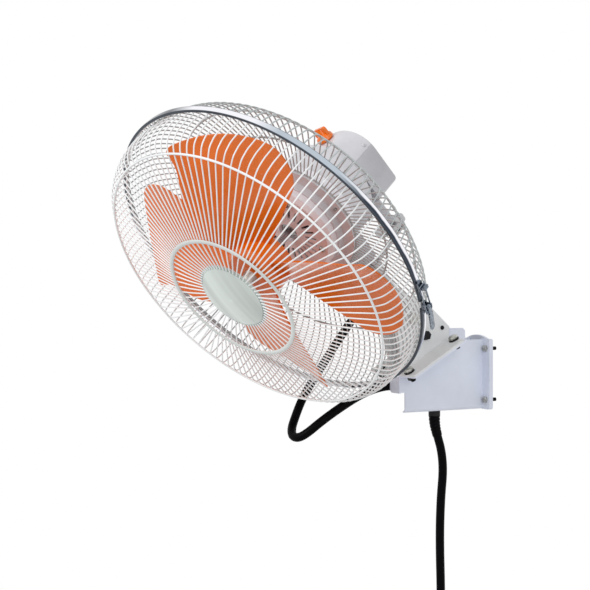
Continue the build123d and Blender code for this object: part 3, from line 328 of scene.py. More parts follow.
def chrome(name, bright, pale, dark, edge):
    """Plated strip with lines from rolling, and reflections painted into its colour: dark in its edges, dark over
    its top, bright high on its near side and pale lower down, then dark in front and bright behind. Its far side
    is bright."""
    # Where the painted reflections change: back along the band, out from its middle, and round it.
    front_to_rear = (0.0036, 0.0054)        # metres back from the band's front edge
    middle_to_edge_reflection = (0.0036, 0.0046)       # metres from the band's middle
    low_to_pale = (0.15, 0.35)              # this and the next four in radians upwards from the fan's side
    pale_to_bright = (0.70, 0.85)
    bright_to_top = (1.25, 1.42)
    top_to_far = (2.45, 2.75)
    far_to_low = (-1.90, -1.60)
    waver = 0.0008                          # metres that the line between the halves strays
    finish, tree, shader = new_finish(name, bright, 0.12, 1.0)
    point = object_point(tree, frame_matrix=FAN)
    apart = add_node(tree, "ShaderNodeSeparateXYZ")
    tree.links.new(point, apart.inputs["Vector"])
    across, down, along = (apart.outputs[way] for way in "XYZ")
    flat = add_node(tree, "ShaderNodeCombineXYZ")
    tree.links.new(across, flat.inputs["X"])
    tree.links.new(down, flat.inputs["Y"])
    radius = add_node(tree, "ShaderNodeVectorMath", operation="LENGTH")
    tree.links.new(flat.outputs["Vector"], radius.inputs["Vector"])
    line = add_node(tree, "ShaderNodeCombineXYZ")
    tree.links.new(radius.outputs["Value"], line.inputs["X"])
    tree.links.new(along, line.inputs["Z"])
    rolled = add_noise(tree, line.outputs["Vector"], scale=900.0, detail=2.0)
    spots = add_noise(tree, point, scale=35.0, detail=4.0, roughness=0.6)
    gloss = add_range(tree, spots, 0.35, 0.75, 0.06, 0.20)
    tree.links.new(gloss, shader.inputs["Roughness"])
    # Painted reflections: the base colour changes with the angle round the band and how far back along it.
    angle = add_math(tree, "ARCTAN2", add_math(tree, "MULTIPLY", down, -1.0), across)
    wavy = add_math(tree, "ADD", along, spread_noise(tree, spots, -waver, waver))
    low = mix_colours(tree, add_step(tree, wavy, *front_to_rear), linear(dark), linear(bright))
    high = mix_colours(tree, add_step(tree, angle, *pale_to_bright), linear(pale), linear(bright))
    side = mix_colours(tree, add_step(tree, angle, *low_to_pale), low, high)
    near = mix_colours(tree, add_step(tree, angle, *bright_to_top), side, linear(dark))
    far = add_math(tree, "MAXIMUM", add_step(tree, angle, *top_to_far),
                   add_range(tree, angle, *far_to_low, 1.0, 0.0))
    reflected = mix_colours(tree, far, near, linear(bright))
    # A dark reflection painted into both edges of the band, left off on its far side.
    aside = add_math(tree, "ABSOLUTE", add_math(tree, "SUBTRACT", along, BAND_WIDTH / 2))
    edge_reflection = add_math(tree, "MULTIPLY", add_step(tree, aside, *middle_to_edge_reflection),
                     add_math(tree, "SUBTRACT", 1.0, far))
    tree.links.new(mix_colours(tree, edge_reflection, reflected, linear(edge)), shader.inputs["Base Color"])
    add_bump(tree, shader, rolled, strength=0.10, depth=0.0002)
    return finish


def zinc_plate(name, colour, dull=0.72, smooth=0.28):
    """Plated or blackened steel: mottled, and dulled by handling."""
    finish, tree, shader = new_finish(name, colour, 0.35, 1.0)
    point = object_point(tree)
    mottle = add_noise(tree, point, scale=260.0, detail=3.0, roughness=0.6)
    vary_tone(tree, shader, spread_noise(tree, mottle), colour, dull, 1.05)
    vary_gloss(tree, shader, mottle, smooth, smooth + 0.20)
    add_bump(tree, shader, mottle, strength=0.15, depth=0.0002)
    return finish


def turned_metal(name, colour):
    """Machined or drawn metal with tool marks round the fan's axis."""
    finish, tree, shader = new_finish(name, colour, 0.3, 1.0)
    point = object_point(tree, stretch=(1.0, 1.0, 30.0), frame_matrix=FAN)
    marks = add_noise(tree, point, scale=60.0, detail=3.0, roughness=0.6)
    vary_tone(tree, shader, spread_noise(tree, marks), colour, 0.82, 1.05)
    vary_gloss(tree, shader, marks, 0.22, 0.42)
    add_bump(tree, shader, marks, strength=0.2, depth=0.0002)
    return finish


def stacked_sheet(name, colour):
    """Laminated iron: half-millimetre sheets stacked along the shaft, dark and light in turn."""
    finish, tree, shader = new_finish(name, colour, 0.45, 0.6)
    stripe = add_node(tree, "ShaderNodeTexWave", wave_type="BANDS", bands_direction="Z")
    set_inputs(stripe, {"Scale": 320.0, "Distortion": 0.0})
    tree.links.new(object_point(tree, frame_matrix=FAN), stripe.inputs["Vector"])
    vary_tone(tree, shader, stripe.outputs["Fac"], colour, 0.6, 1.15)
    add_bump(tree, shader, stripe.outputs["Fac"], strength=0.4, depth=0.0002)
    return finish


def wound_copper(name, colour):
    """Enamelled copper wire wound in rings round the fan's axis, with painted shade between its turns."""
    finish, tree, shader = new_finish(name, colour, 0.3, 0.8)
    turns = add_node(tree, "ShaderNodeTexWave", wave_type="RINGS", rings_direction="Z")
    set_inputs(turns, {"Scale": 260.0, "Distortion": 2.5, "Detail": 2.0})
    tree.links.new(object_point(tree, frame_matrix=FAN), turns.inputs["Vector"])
    vary_tone(tree, shader, turns.outputs["Fac"], colour, 0.55, 1.1)
    add_bump(tree, shader, turns.outputs["Fac"], strength=0.5, depth=0.0004)
    return finish


def matt_moulding(name, colour):
    """Fine spark-eroded moulding."""
    finish, tree, shader = new_finish(name, colour, 0.55)
    set_inputs(shader, {"Specular IOR Level": 0.25})
    point = object_point(tree)
    cloud = spread_noise(tree, add_noise(tree, point, scale=50.0, detail=3.0))
    vary_tone(tree, shader, cloud, colour, 0.85, 1.1)
    add_bump(tree, shader, add_noise(tree, point, scale=1600.0, detail=1.0), strength=0.3, depth=0.0003)
    return finish


def cord_sheath(name, colour):
    """Satin rubber sheath with faint pale scuffs and a slightly uneven skin."""
    finish, tree, shader = new_finish(name, colour, 0.42)
    set_inputs(shader, {"Specular IOR Level": 0.05})
    point = object_point(tree)
    scuff = add_step(tree, add_noise(tree, point, scale=90.0, detail=5.0, roughness=0.65), 0.45, 0.8)
    vary_tone(tree, shader, scuff, colour, 1.0, 2.2)
    vary_gloss(tree, shader, add_noise(tree, point, scale=40.0, detail=3.0), 0.32, 0.5)
    add_bump(tree, shader, add_noise(tree, point, scale=260.0, detail=3.0), strength=0.2, depth=0.0005)
    return finish


def make_finishes(colours):
    """One finish for each material slot of the record, then those that a few pieces have instead."""
    # The band's own bright plate, and the pale, dark and edge tones of the reflections painted into it.
    plating = {"bright": (0.97, 0.97, 0.99), "pale": (0.74, 0.78, 0.82), "dark": (0.22, 0.25, 0.30),
               "edge": (0.30, 0.32, 0.35)}
    return {
        "guard_wire": powder_coat("guard_wire_coat", colours.guard, 0.36),
        "band_chrome": chrome("band_chrome_plate", **plating),
        "impeller_orange": glossy_moulding("impeller_moulding", colours.impeller),
        "badge_grey": badge_plastic("badge_satin", colours.badge),
        "housing_light": enamel("housing_light_enamel", colours.housing_light),
        "housing_grey": enamel("housing_grey_enamel", colours.housing_grey),
        "bracket_white": powder_coat("bracket_coat", colours.bracket, 0.40),
        "yoke_white": powder_coat("yoke_coat", colours.yoke, 0.45),
        "zinc": zinc_plate("zinc_plate", (0.78, 0.78, 0.76)),
        "steel": turned_metal("turned_steel", (0.72, 0.72, 0.73)),
        "lamination": stacked_sheet("stacked_sheet_iron", (0.42, 0.41, 0.42)),
        "copper": wound_copper("wound_copper", (0.80, 0.45, 0.25)),
        "brass_gear": turned_metal("cut_brass", (0.86, 0.70, 0.38)),
        "black_plastic": matt_moulding("black_moulding", (0.045, 0.045, 0.05)),
        "pale_plastic": matt_moulding("pale_moulding", (0.86, 0.85, 0.80)),
        "cord_black": cord_sheath("cord_sheath", colours.cord),
        # A greyer copy of the guards' white for the rear wires: painted shade.
        "shaded rear wire": powder_coat("shaded_rear_wire_coat", (0.74, 0.765, 0.77), 0.40),
        "inner ring": powder_coat("inner_ring_coat", (0.86, 0.88, 0.87), 0.36),
        # A paler copy of the housing enamel for the motor's front shell: painted light where it sits in shade
        # behind the blades.
        "lit motor enamel": enamel("lit_motor_enamel", (0.97, 0.96, 0.985)),
        "black oxide": zinc_plate("black_oxide", (0.17, 0.17, 0.18)),
        "latch steel": zinc_plate("latch_steel", (0.58, 0.62, 0.67), 0.50, 0.12),
    }


# Nodes whose finish differs from the rest of their slot; the motor's front shell has painted light.
OWN_FINISHES = {
    "motor_front_shell": "lit motor enamel", "tilt_lock_bolt": "black oxide", "stop_screw": "black oxide",
    "seat_washers": "black oxide", "latch_lever": "latch steel", "latch_hook": "latch steel",
    "latch_base": "latch steel", "latch_keeper": "latch steel", "cover_screws": "housing_light",
}


FINISHES = {}               # by name, once they are made


def finish_for(name):
    """A finish by name, made with all the others the first time that one is asked for."""
    if not FINISHES:
        FINISHES.update(make_finishes(bpy.context.scene.fan_colours))
    return FINISHES[name]


# ---- modelling by hand, in code
def leave_all():
    """Leave edit mode, with nothing selected."""
    if bpy.context.object and bpy.context.object.mode != "OBJECT":
        bpy.ops.object.mode_set(mode="OBJECT")
    bpy.ops.object.select_all(action="DESELECT")


def only(piece):
    """The piece alone is selected and active."""
    leave_all()
    piece.select_set(True)
    bpy.context.view_layer.objects.active = piece
    return piece


def edit_all(piece):
    """Open the piece alone in edit mode, with all of it selected."""
    only(piece)
    bpy.ops.object.mode_set(mode="EDIT")
    bpy.ops.mesh.select_all(action="SELECT")


def apply_place():
    """Put the place, turn and size of what is selected into its mesh."""
    bpy.ops.object.transform_apply(location=True, rotation=True, scale=True)


def draw_line(name, points, closed=False):
    """Edges through the points, drawn by extruding one vertex."""
    leave_all()
    bpy.ops.mesh.primitive_plane_add(size=0.001)
    piece = bpy.context.object
    piece.name = name
    bpy.ops.object.mode_set(mode="EDIT")
    bpy.ops.mesh.merge(type="CENTER")
    bpy.ops.transform.translate(value=points[0])
    for start, end in zip(points, points[1:]):
        step = Vector(end) - Vector(start)
        bpy.ops.mesh.extrude_vertices_move(TRANSFORM_OT_translate={"value": step})
    bpy.ops.object.mode_set(mode="OBJECT")
    if closed:
        vertices = piece.data.vertices
        for vertex in vertices:
            vertex.select = vertex.index in (0, len(vertices) - 1)
        bpy.ops.object.mode_set(mode="EDIT")
        bpy.ops.mesh.edge_face_add()
        bpy.ops.object.mode_set(mode="OBJECT")
    return piece


def close_skin(piece):
    """Merge doubles and turn every face outwards."""
    edit_all(piece)
    bpy.ops.mesh.remove_doubles(threshold=TOUCHING)
    bpy.ops.mesh.normals_make_consistent(inside=False)
    bpy.ops.object.mode_set(mode="OBJECT")
    return piece


def spin(piece, steps, angle, **settings):
    """Spin the whole piece round its own z axis; it stays open in edit mode."""
    edit_all(piece)
    bpy.ops.mesh.spin(steps=steps, angle=angle, center=(0, 0, 0), axis=(0, 0, 1), **settings)


def spin_round(piece, steps):
    """One skin from the piece's profile, spun once round."""
    spin(piece, steps, 2 * math.pi)
    return close_skin(piece)


def spin_copies(piece, count):
    """Evenly spaced copies of the piece's mesh, the piece being the first."""
    spin(piece, count - 1, 2 * math.pi * (count - 1) / count, dupli=True)
    bpy.ops.object.mode_set(mode="OBJECT")
    return piece


def bent_wire(name, points, thickness):
    """Round wire along the points."""
    piece = only(draw_line(name, points))
    bpy.ops.object.convert(target="CURVE")
    piece = bpy.context.object
    piece.data.bevel_depth = thickness / 2
    piece.data.bevel_resolution = 1
    piece.data.use_fill_caps = True
    bpy.ops.object.convert(target="MESH")
    return bpy.context.object


def hoop(name, radius, along, thickness):
    """Wire hoop round the z axis."""
    leave_all()
    bpy.ops.mesh.primitive_circle_add(vertices=WIRE_SIDES, radius=thickness / 2,
                                      location=(radius, 0, along), rotation=(math.pi / 2, 0, 0))
    piece = bpy.context.object
    piece.name = name
    apply_place()
    return spin_round(piece, HOOP_STEPS)


def flat_ring(name, inner, outer, along, sheet):
    """Flat ring with softened edges, pressed from sheet, its front face crowned a little."""
    soft = sheet * 0.4
    crowned = sheet * 1.25
    middle = (inner + outer) / 2
    points = [(inner, 0, along), (inner, 0, along - sheet + soft), (inner + soft, 0, along - sheet),
              (middle, 0, along - crowned), (outer - soft, 0, along - sheet),
              (outer, 0, along - sheet + soft), (outer, 0, along)]
    return spin_round(draw_line(name, points, closed=True), HOOP_STEPS)


def copies(name, piece, places):
    """The piece's mesh copied to each place and joined; the piece itself goes."""
    made = []
    for spot in places:
        copy = piece.copy()
        copy.data = piece.data.copy()
        copy.data.transform(spot)
        bpy.context.collection.objects.link(copy)
        made.append(copy)
    bpy.data.objects.remove(piece)
    return join(name, made)


def hexagon(name, across_flats, low, high, chamfer):
    """Six-sided head or nut with both rims chamfered."""
    leave_all()
    bpy.ops.mesh.primitive_cylinder_add(vertices=6, radius=across_flats / math.sqrt(3), depth=high - low,
                                        location=(0, 0, (low + high) / 2), rotation=(0, 0, math.pi / 6))
    piece = bpy.context.object
    piece.name = name
    apply_place()
    bpy.ops.object.mode_set(mode="EDIT")
    bpy.ops.mesh.select_mode(type="EDGE")
    bpy.ops.mesh.select_all(action="DESELECT")
    bpy.ops.object.mode_set(mode="OBJECT")
    vertices = piece.data.vertices
    for edge in piece.data.edges:
        start, end = (vertices[index].co.z for index in edge.vertices)
        edge.select = abs(start - end) < TOUCHING
    bpy.ops.object.mode_set(mode="EDIT")
    bpy.ops.mesh.bevel(offset=chamfer, segments=2)
    bpy.ops.mesh.select_mode(type="VERT")
    bpy.ops.object.mode_set(mode="OBJECT")
    return close_skin(piece)


def turned(name, profile, steps=24):
    """A solid turned from (radius, height) points that start and end on the z axis."""
    return spin_round(draw_line(name, [(radius, 0, height) for radius, height in profile]), steps)


def threaded_rod(name, radius, low, thread_high, high, pitch):
    """Rod along z with a thread cut from its low end up to thread_high."""
    thread_depth = 0.6 * pitch
    root = radius - thread_depth
    run_out = 0.0002
    profile = [(0.0, low), (root, low)]
    turns = max(1, round((thread_high - low) / pitch))
    step = (thread_high - low) / turns
    for turn in range(turns):
        profile += [(radius, low + (turn + 0.5) * step), (root, low + (turn + 1) * step)]
    profile += [(radius, thread_high + run_out), (radius, high), (0.0, high)]
    return turned(name, profile, steps=20)


def join(name, pieces):
    """Pieces become one object."""
    only(pieces[0])
    for piece in pieces:
        piece.select_set(True)
    bpy.ops.object.join()
    joined = bpy.context.object
    joined.name = name
    joined.data.name = name
    return joined


def settle(piece, frame_matrix, angle=40.0):
    """Move the piece's mesh to its place and smooth the edges that turn less than the angle."""
    only(piece)
    piece.matrix_world = frame_matrix
    apply_place()
    bpy.ops.object.shade_smooth_by_angle(angle=math.radians(angle))
    return piece


def coat(piece, finish):
    piece.data.materials.clear()
    piece.data.materials.append(finish_for(finish))
    return piece


def dress(piece, slot):
    """The finish named by the record's slot."""
    coat(piece, slot)
    return piece


def rounded(points, radii):
    """Points of a bent line whose corners are rounded to the given radii."""
    steps = 3
    line = [Vector(points[0])]
    for before, corner, after, radius in zip(points, points[1:], points[2:], radii):
        corner = Vector(corner)
        back = (Vector(before) - corner).normalized()
        on = (Vector(after) - corner).normalized()
        reach = radius / math.tan(back.angle(on) / 2)
        for step in range(steps + 1):
            share = step / steps
            line.append(corner + back * reach * (1 - share) ** 2 + on * reach * share ** 2)
    line.append(Vector(points[-1]))
    return line


# ---- camera
class FAN_OT_set_camera(Operator):
    """Set the camera to look level at the fan from its side, slightly in front"""
    bl_idname = "fan.set_camera"
    bl_label = "Set camera"

    place_m = (1.5235, -1.1518, 0.128)
    azimuth = math.radians(62.0)

    def execute(self, context):
        leave_all()
        bpy.ops.object.camera_add(location=self.place_m, rotation=(math.pi / 2, 0, self.azimuth))
        camera = context.object
        camera.name = "camera"
        camera.data.sensor_width = 36.0
        camera.data.lens = context.scene.fan_sizes.lens
        context.scene.camera = camera
        return {"FINISHED"}


# ---- cords
def add_curve(name, kind, points):
    """An open curve with the points as its control points; returns it with its spline."""
    curve = bpy.data.curves.new(name, "CURVE")
    curve.dimensions = "3D"
    spline = curve.splines.new(kind)
    spline.points.add(len(points) - 1)
    for control, point in zip(spline.points, points):
        control.co = (*point, 1.0)
    piece = bpy.data.objects.new(name, curve)
    bpy.context.collection.objects.link(piece)
    return piece, spline


def lay_spline(name, points):
    """A smooth curve that starts and ends at its outer control points."""
    cord, spline = add_curve(name, "NURBS", points)
    spline.order_u = 3
    spline.use_endpoint_u = True
    spline.resolution_u = CORD_STEPS
    cord.data.resolution_u = CORD_STEPS
    return cord


def centre_line(cord):
    """Points read from a curve that has no thickness yet."""
    mesh = bpy.data.meshes.new_from_object(cord)
    points = [vertex.co.copy() for vertex in mesh.vertices]
    bpy.data.meshes.remove(mesh)
    return points


def give_thickness(cord, diameter):
    cord.data.bevel_depth = diameter / 2
    cord.data.bevel_resolution = CORD_ROUNDNESS
    cord.data.use_fill_caps = True


def first_stretch(points, length):
    """The start of a line of points, up to a length along it."""
    stretch = [points[0]]
    run = 0.0
    for before, here in zip(points, points[1:]):
        run += (here - before).length
        if run > length:
            break
        stretch.append(here)
    return stretch


def tapered_sleeve(name, points, root):
    """A strain relief: a sleeve that narrows along the cord, with a groove from each rib to the next."""
    tip = 0.0077
    ribs = 6
    groove = 0.93               # of the radius
    rib_steps = 4
    steps = rib_steps * ribs
    line = []
    for step in range(steps + 1):
        share = step / steps * (len(points) - 1)
        index = min(int(share), len(points) - 2)
        line.append(points[index].lerp(points[index + 1], share - index))
    sleeve, spline = add_curve(name, "POLY", line)
    for step, control in enumerate(spline.points):
        radius = root + (tip - root) * step / steps
        grooved = step % rib_steps == rib_steps // 2 and step < steps - rib_steps // 2
        control.radius = radius * groove if grooved else radius
    give_thickness(sleeve, 2.0)         # so that each radius is in metres
    only(sleeve)
    bpy.ops.object.convert(target="MESH")
    return bpy.context.object


def coil_point(turns):
    """Centre line of the tied coil that hangs under the bracket."""
    angle = 2 * math.pi * turns
    late = max(0.0, 2 * (turns - COIL_TURNS) + 1)
    aside = COIL_STEP * turns + COIL_LAST_STEP * late ** 2 * (3 - 2 * late)
    around = Vector((COIL_RADIUS * (math.cos(angle) - 1), -aside, -COIL_RADIUS * math.sin(angle)))
    return COIL_START + around


class FAN_OT_lay_motor_cord(Operator):
    """Hang the motor's cord in its loop from the neck's bush back to the junction box"""
    bl_idname = "fan.lay_motor_cord"
    bl_label = "Lay motor cord"

    sleeve_root = 0.0098

    def execute(self, context):
        sizes = context.scene.fan_sizes
        route = lay_spline("motor_cord_line", MOTOR_CORD_ROUTE)
        line = centre_line(route)
        give_thickness(route, CORD_DIAMETER)
        only(route)
        bpy.ops.object.convert(target="MESH")
        cord = context.object
        cord.name = "motor_cord_sheath"
        held = first_stretch(line, sizes.relief_length)
        sleeve = tapered_sleeve("neck_strain_relief", held, self.sleeve_root)
        for piece in (cord, sleeve):
            close_skin(piece)
            settle(piece, Matrix.Identity(4))
            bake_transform(piece)
        dress(cord, "cord_black")
        dress(sleeve, "cord_black")
        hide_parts("motor_cord")
        return {"FINISHED"}


class FAN_OT_lay_power_lead(Operator):
    """Hang the mains lead from the bracket down to its tied coil and plug"""
    bl_idname = "fan.lay_power_lead"
    bl_label = "Lay power lead"

    sleeve_root = 0.0092

    def execute(self, context):
        sizes = context.scene.fan_sizes
        steps = COIL_TURNS * COIL_POINTS_PER_TURN
        turns = [coil_point(step / COIL_POINTS_PER_TURN) for step in range(steps + 1)]
        tail = turns[-1] - Vector((0, 0, CORD_DIAMETER))
        lead = lay_spline("power_lead_sheath", [*POWER_LEAD_ROUTE, *turns, tail])
        line = centre_line(lead)
        give_thickness(lead, CORD_DIAMETER)
        coat(lead, "cord_black")
        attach(lead, "mount_frame")
        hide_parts("power_lead", "lead_coil")
        held = first_stretch(line, sizes.relief_length)
        sleeve = tapered_sleeve("lead_strain_relief", held, self.sleeve_root)
        close_skin(sleeve)
        settle(sleeve, Matrix.Identity(4))
        dress(sleeve, "cord_black")
        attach(sleeve, "mount_frame")
        return {"FINISHED"}


# ---- guards
def spokes(name, corners, bends, thickness, count):
    """Radial wires: one through (radius, along) corners, rounded if bends are given, then copied round."""
    points = [(radius, 0.0, along) for radius, along in corners]
    wire = bent_wire(name, rounded(points, bends) if bends else points, thickness)
    return spin_copies(wire, count)


class FAN_OT_weld_front_guard(Operator):
    """Weld the front guard from radial wires, two hoops and a flat inner ring"""
    bl_idname = "fan.weld_front_guard"
    bl_label = "Weld front guard"

    # Corners of the wires: radius, and how far back from the band's front edge.
    corners = ((0.1015, -0.0861), (0.108, -0.0852), (0.230, -0.0568), (0.2422, -0.0490), (0.2492, -0.0355),
               (0.2515, -0.0140), (0.2500, -0.0010), (0.2505, 0.0032), (0.2540, 0.0032))
    bends = (0.05, 0.045, 0.018, 0.025, 0.030, 0.012, 0.0025)
    badge_corners = ((0.0528, -0.0837), (0.079, -0.0857), (0.1040, -0.0863))
    ring_radii = (0.1008, 0.1070)
    ring_front = -0.0863
    ring_sheet = 0.0012
    mid_hoop = (0.2295, -0.0562)        # radius, and the middle of the wires there
    mid_hoop_lean = 0.9                 # share of its lift off the wires that is straight forwards
    rim_hoop = (0.2553, 0.0032)
    weld_depth = 0.0002

    def execute(self, context):
        sizes = context.scene.fan_sizes
        spoke, wire = sizes.spoke_wire, sizes.hoop_wire
        radius, along = self.mid_hoop
        lift = (spoke + wire) / 2 - self.weld_depth
        pieces = [spokes("front_spokes", self.corners, self.bends, spoke, sizes.front_spokes),
                  spokes("badge_spokes", self.badge_corners, (), spoke, sizes.front_spokes // 2),
                  hoop("mid_hoop", radius, along - lift * self.mid_hoop_lean, wire),
                  hoop("rim_hoop", *self.rim_hoop, wire)]
        for piece in pieces:
            coat(piece, "guard_wire")
        ring = flat_ring("inner_ring", *self.ring_radii, self.ring_front - spoke / 2, self.ring_sheet)
        guard = join("front_wire_guard", [*pieces, coat(ring, "inner ring")])
        settle(guard, FAN)
        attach(guard, "head")
        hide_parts("front_guard")
        return {"FINISHED"}


class FAN_OT_weld_rear_guard(Operator):
    """Weld the rear guard from radial wires and four hoops"""
    bl_idname = "fan.weld_rear_guard"
    bl_label = "Weld rear guard"

    corners = ((0.2540, 0.0068), (0.2502, 0.0068), (0.2490, 0.023), (0.2395, 0.0485), (0.2140, 0.0735),
               (0.150, 0.0912), (0.0945, 0.0948))
    bends = (0.0025, 0.025, 0.040, 0.060, 0.15)
    hoops = ((0.2553, 0.0068), (0.2050, 0.0788), (0.1500, 0.0929), (0.0960, 0.0954))

    def execute(self, context):
        sizes = context.scene.fan_sizes
        pieces = [spokes("rear_spokes", self.corners, self.bends, sizes.spoke_wire, sizes.rear_spokes)]
        for radius, along in self.hoops:
            pieces.append(hoop("rear_hoop", radius, along, sizes.hoop_wire))
        guard = join("rear_wire_guard", pieces)
        settle(guard, FAN)
        # Greyer than the front guard: painted shade.
        coat(guard, "shaded rear wire")
        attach(guard, "head")
        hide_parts("rear_guard")
        return {"FINISHED"}


class FAN_OT_roll_clamp_band(Operator):
    """Roll the plated channel strip that clamps both guards' rims together, open under its latch"""
    bl_idname = "fan.roll_clamp_band"
    bl_label = "Roll clamp band"

    radius = 0.259
    lip = 0.2548
    lip_edge = 0.0004
    sheet = 0.0014
    corner = 0.0011
    corner_cut = 0.3            # share of the corner by which the middle of its bend lies in
    crown = 0.0003
    gap = math.radians(3.0)
    latch_angle = math.radians(-28.0)   # upwards from the fan's side
    steps = 238

    def execute(self, context):
        lip, edge, outer, sheet, wide = self.lip, self.lip_edge, self.radius, self.sheet, BAND_WIDTH
        soft = self.corner * self.corner_cut
        front = [(lip, edge), (lip + edge, 0.0), (outer - self.corner, 0.0), (outer - soft, soft),
                 (outer - self.crown, self.corner)]
        rear = [(radius, wide - along) for radius, along in reversed(front)]
        inside = [(lip, wide - sheet), (outer - sheet, wide - sheet), (outer - sheet, sheet), (lip, sheet)]
        profile = [*front, (outer, wide / 2), *rear, *inside]
        points = [Vector((radius, 0, along)) for radius, along in profile]
        band = only(draw_line("plated_clamp_band", points, closed=True))
        band.matrix_world = Matrix.Rotation(self.gap / 2 - self.latch_angle, 4, "Z")
        apply_place()
        spin(band, self.steps, 2 * math.pi - self.gap)
        bpy.ops.mesh.select_all(action="SELECT")
        bpy.ops.mesh.remove_doubles(threshold=TOUCHING)
        bpy.ops.mesh.fill_holes(sides=0)
        close_skin(band)
        settle(band, FAN)
        dress(band, "band_chrome")
        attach(band, "head")
        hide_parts("clamp_band")
        return {"FINISHED"}


# ---- fasteners
class FAN_OT_turn_fasteners(Operator):
    """Turn the hexagon bolts of the wall plate, and the bolts and nuts of the sloping seat"""
    bl_idname = "fan.turn_fasteners"
    bl_label = "Turn fasteners"

    # Heights run along each fastener, from the face under its head or over its nut.
    wall_head = {"across_flats": 0.010, "low": 0.0, "high": 0.004, "chamfer": 0.0006}
    wall_rod = {"radius": 0.003, "low": -0.0201, "thread_high": -0.0071, "high": 0.0004, "pitch": 0.001}
    wall_face = 0.0071          # wall plate and bracket flange together
    seat_head = {"across_flats": 0.013, "low": 0.0, "high": 0.0053, "chamfer": 0.0008}
    seat_rod = {"radius": 0.004, "low": -0.0174, "thread_high": -0.0076, "high": 0.0004, "pitch": 0.00125}
    seat_face = 0.0048          # top of the washers
    nut = {"across_flats": 0.013, "low": -0.0065, "high": 0.0, "chamfer": 0.0008}
    nut_face = -0.0026          # under the flange
    facet_angle = 30.0

    def make_bolt(self, name, head, rod):
        return join(name, [coat(hexagon(f"{name}_head", **head), "zinc"),
                           coat(threaded_rod(f"{name}_thread", **rod), "black oxide")])

    def set_in_place(self, fastener, node, frame_matrix, corners, height):
        spots = [frame_matrix @ Matrix.Translation((x, y, height)) for x, y in corners]
        piece = copies(f"hexagon_{node}", fastener, spots)
        settle(piece, Matrix.Identity(4), self.facet_angle)
        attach(piece, "mount_frame")
        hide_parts(node)

    def execute(self, context):
        wall_bolt = self.make_bolt("wall_bolt", self.wall_head, self.wall_rod)
        self.set_in_place(wall_bolt, "wall_bolts", WALL, WALL_STUDS, self.wall_face)
        seat_bolt = self.make_bolt("seat_bolt", self.seat_head, self.seat_rod)
        self.set_in_place(seat_bolt, "seat_bolts", SEAT, SEAT_BOLTS, self.seat_face)
        seat_nut = coat(hexagon("seat_nut", **self.nut), "black oxide")
        self.set_in_place(seat_nut, "seat_nuts", SEAT, SEAT_BOLTS, self.nut_face)
        return {"FINISHED"}


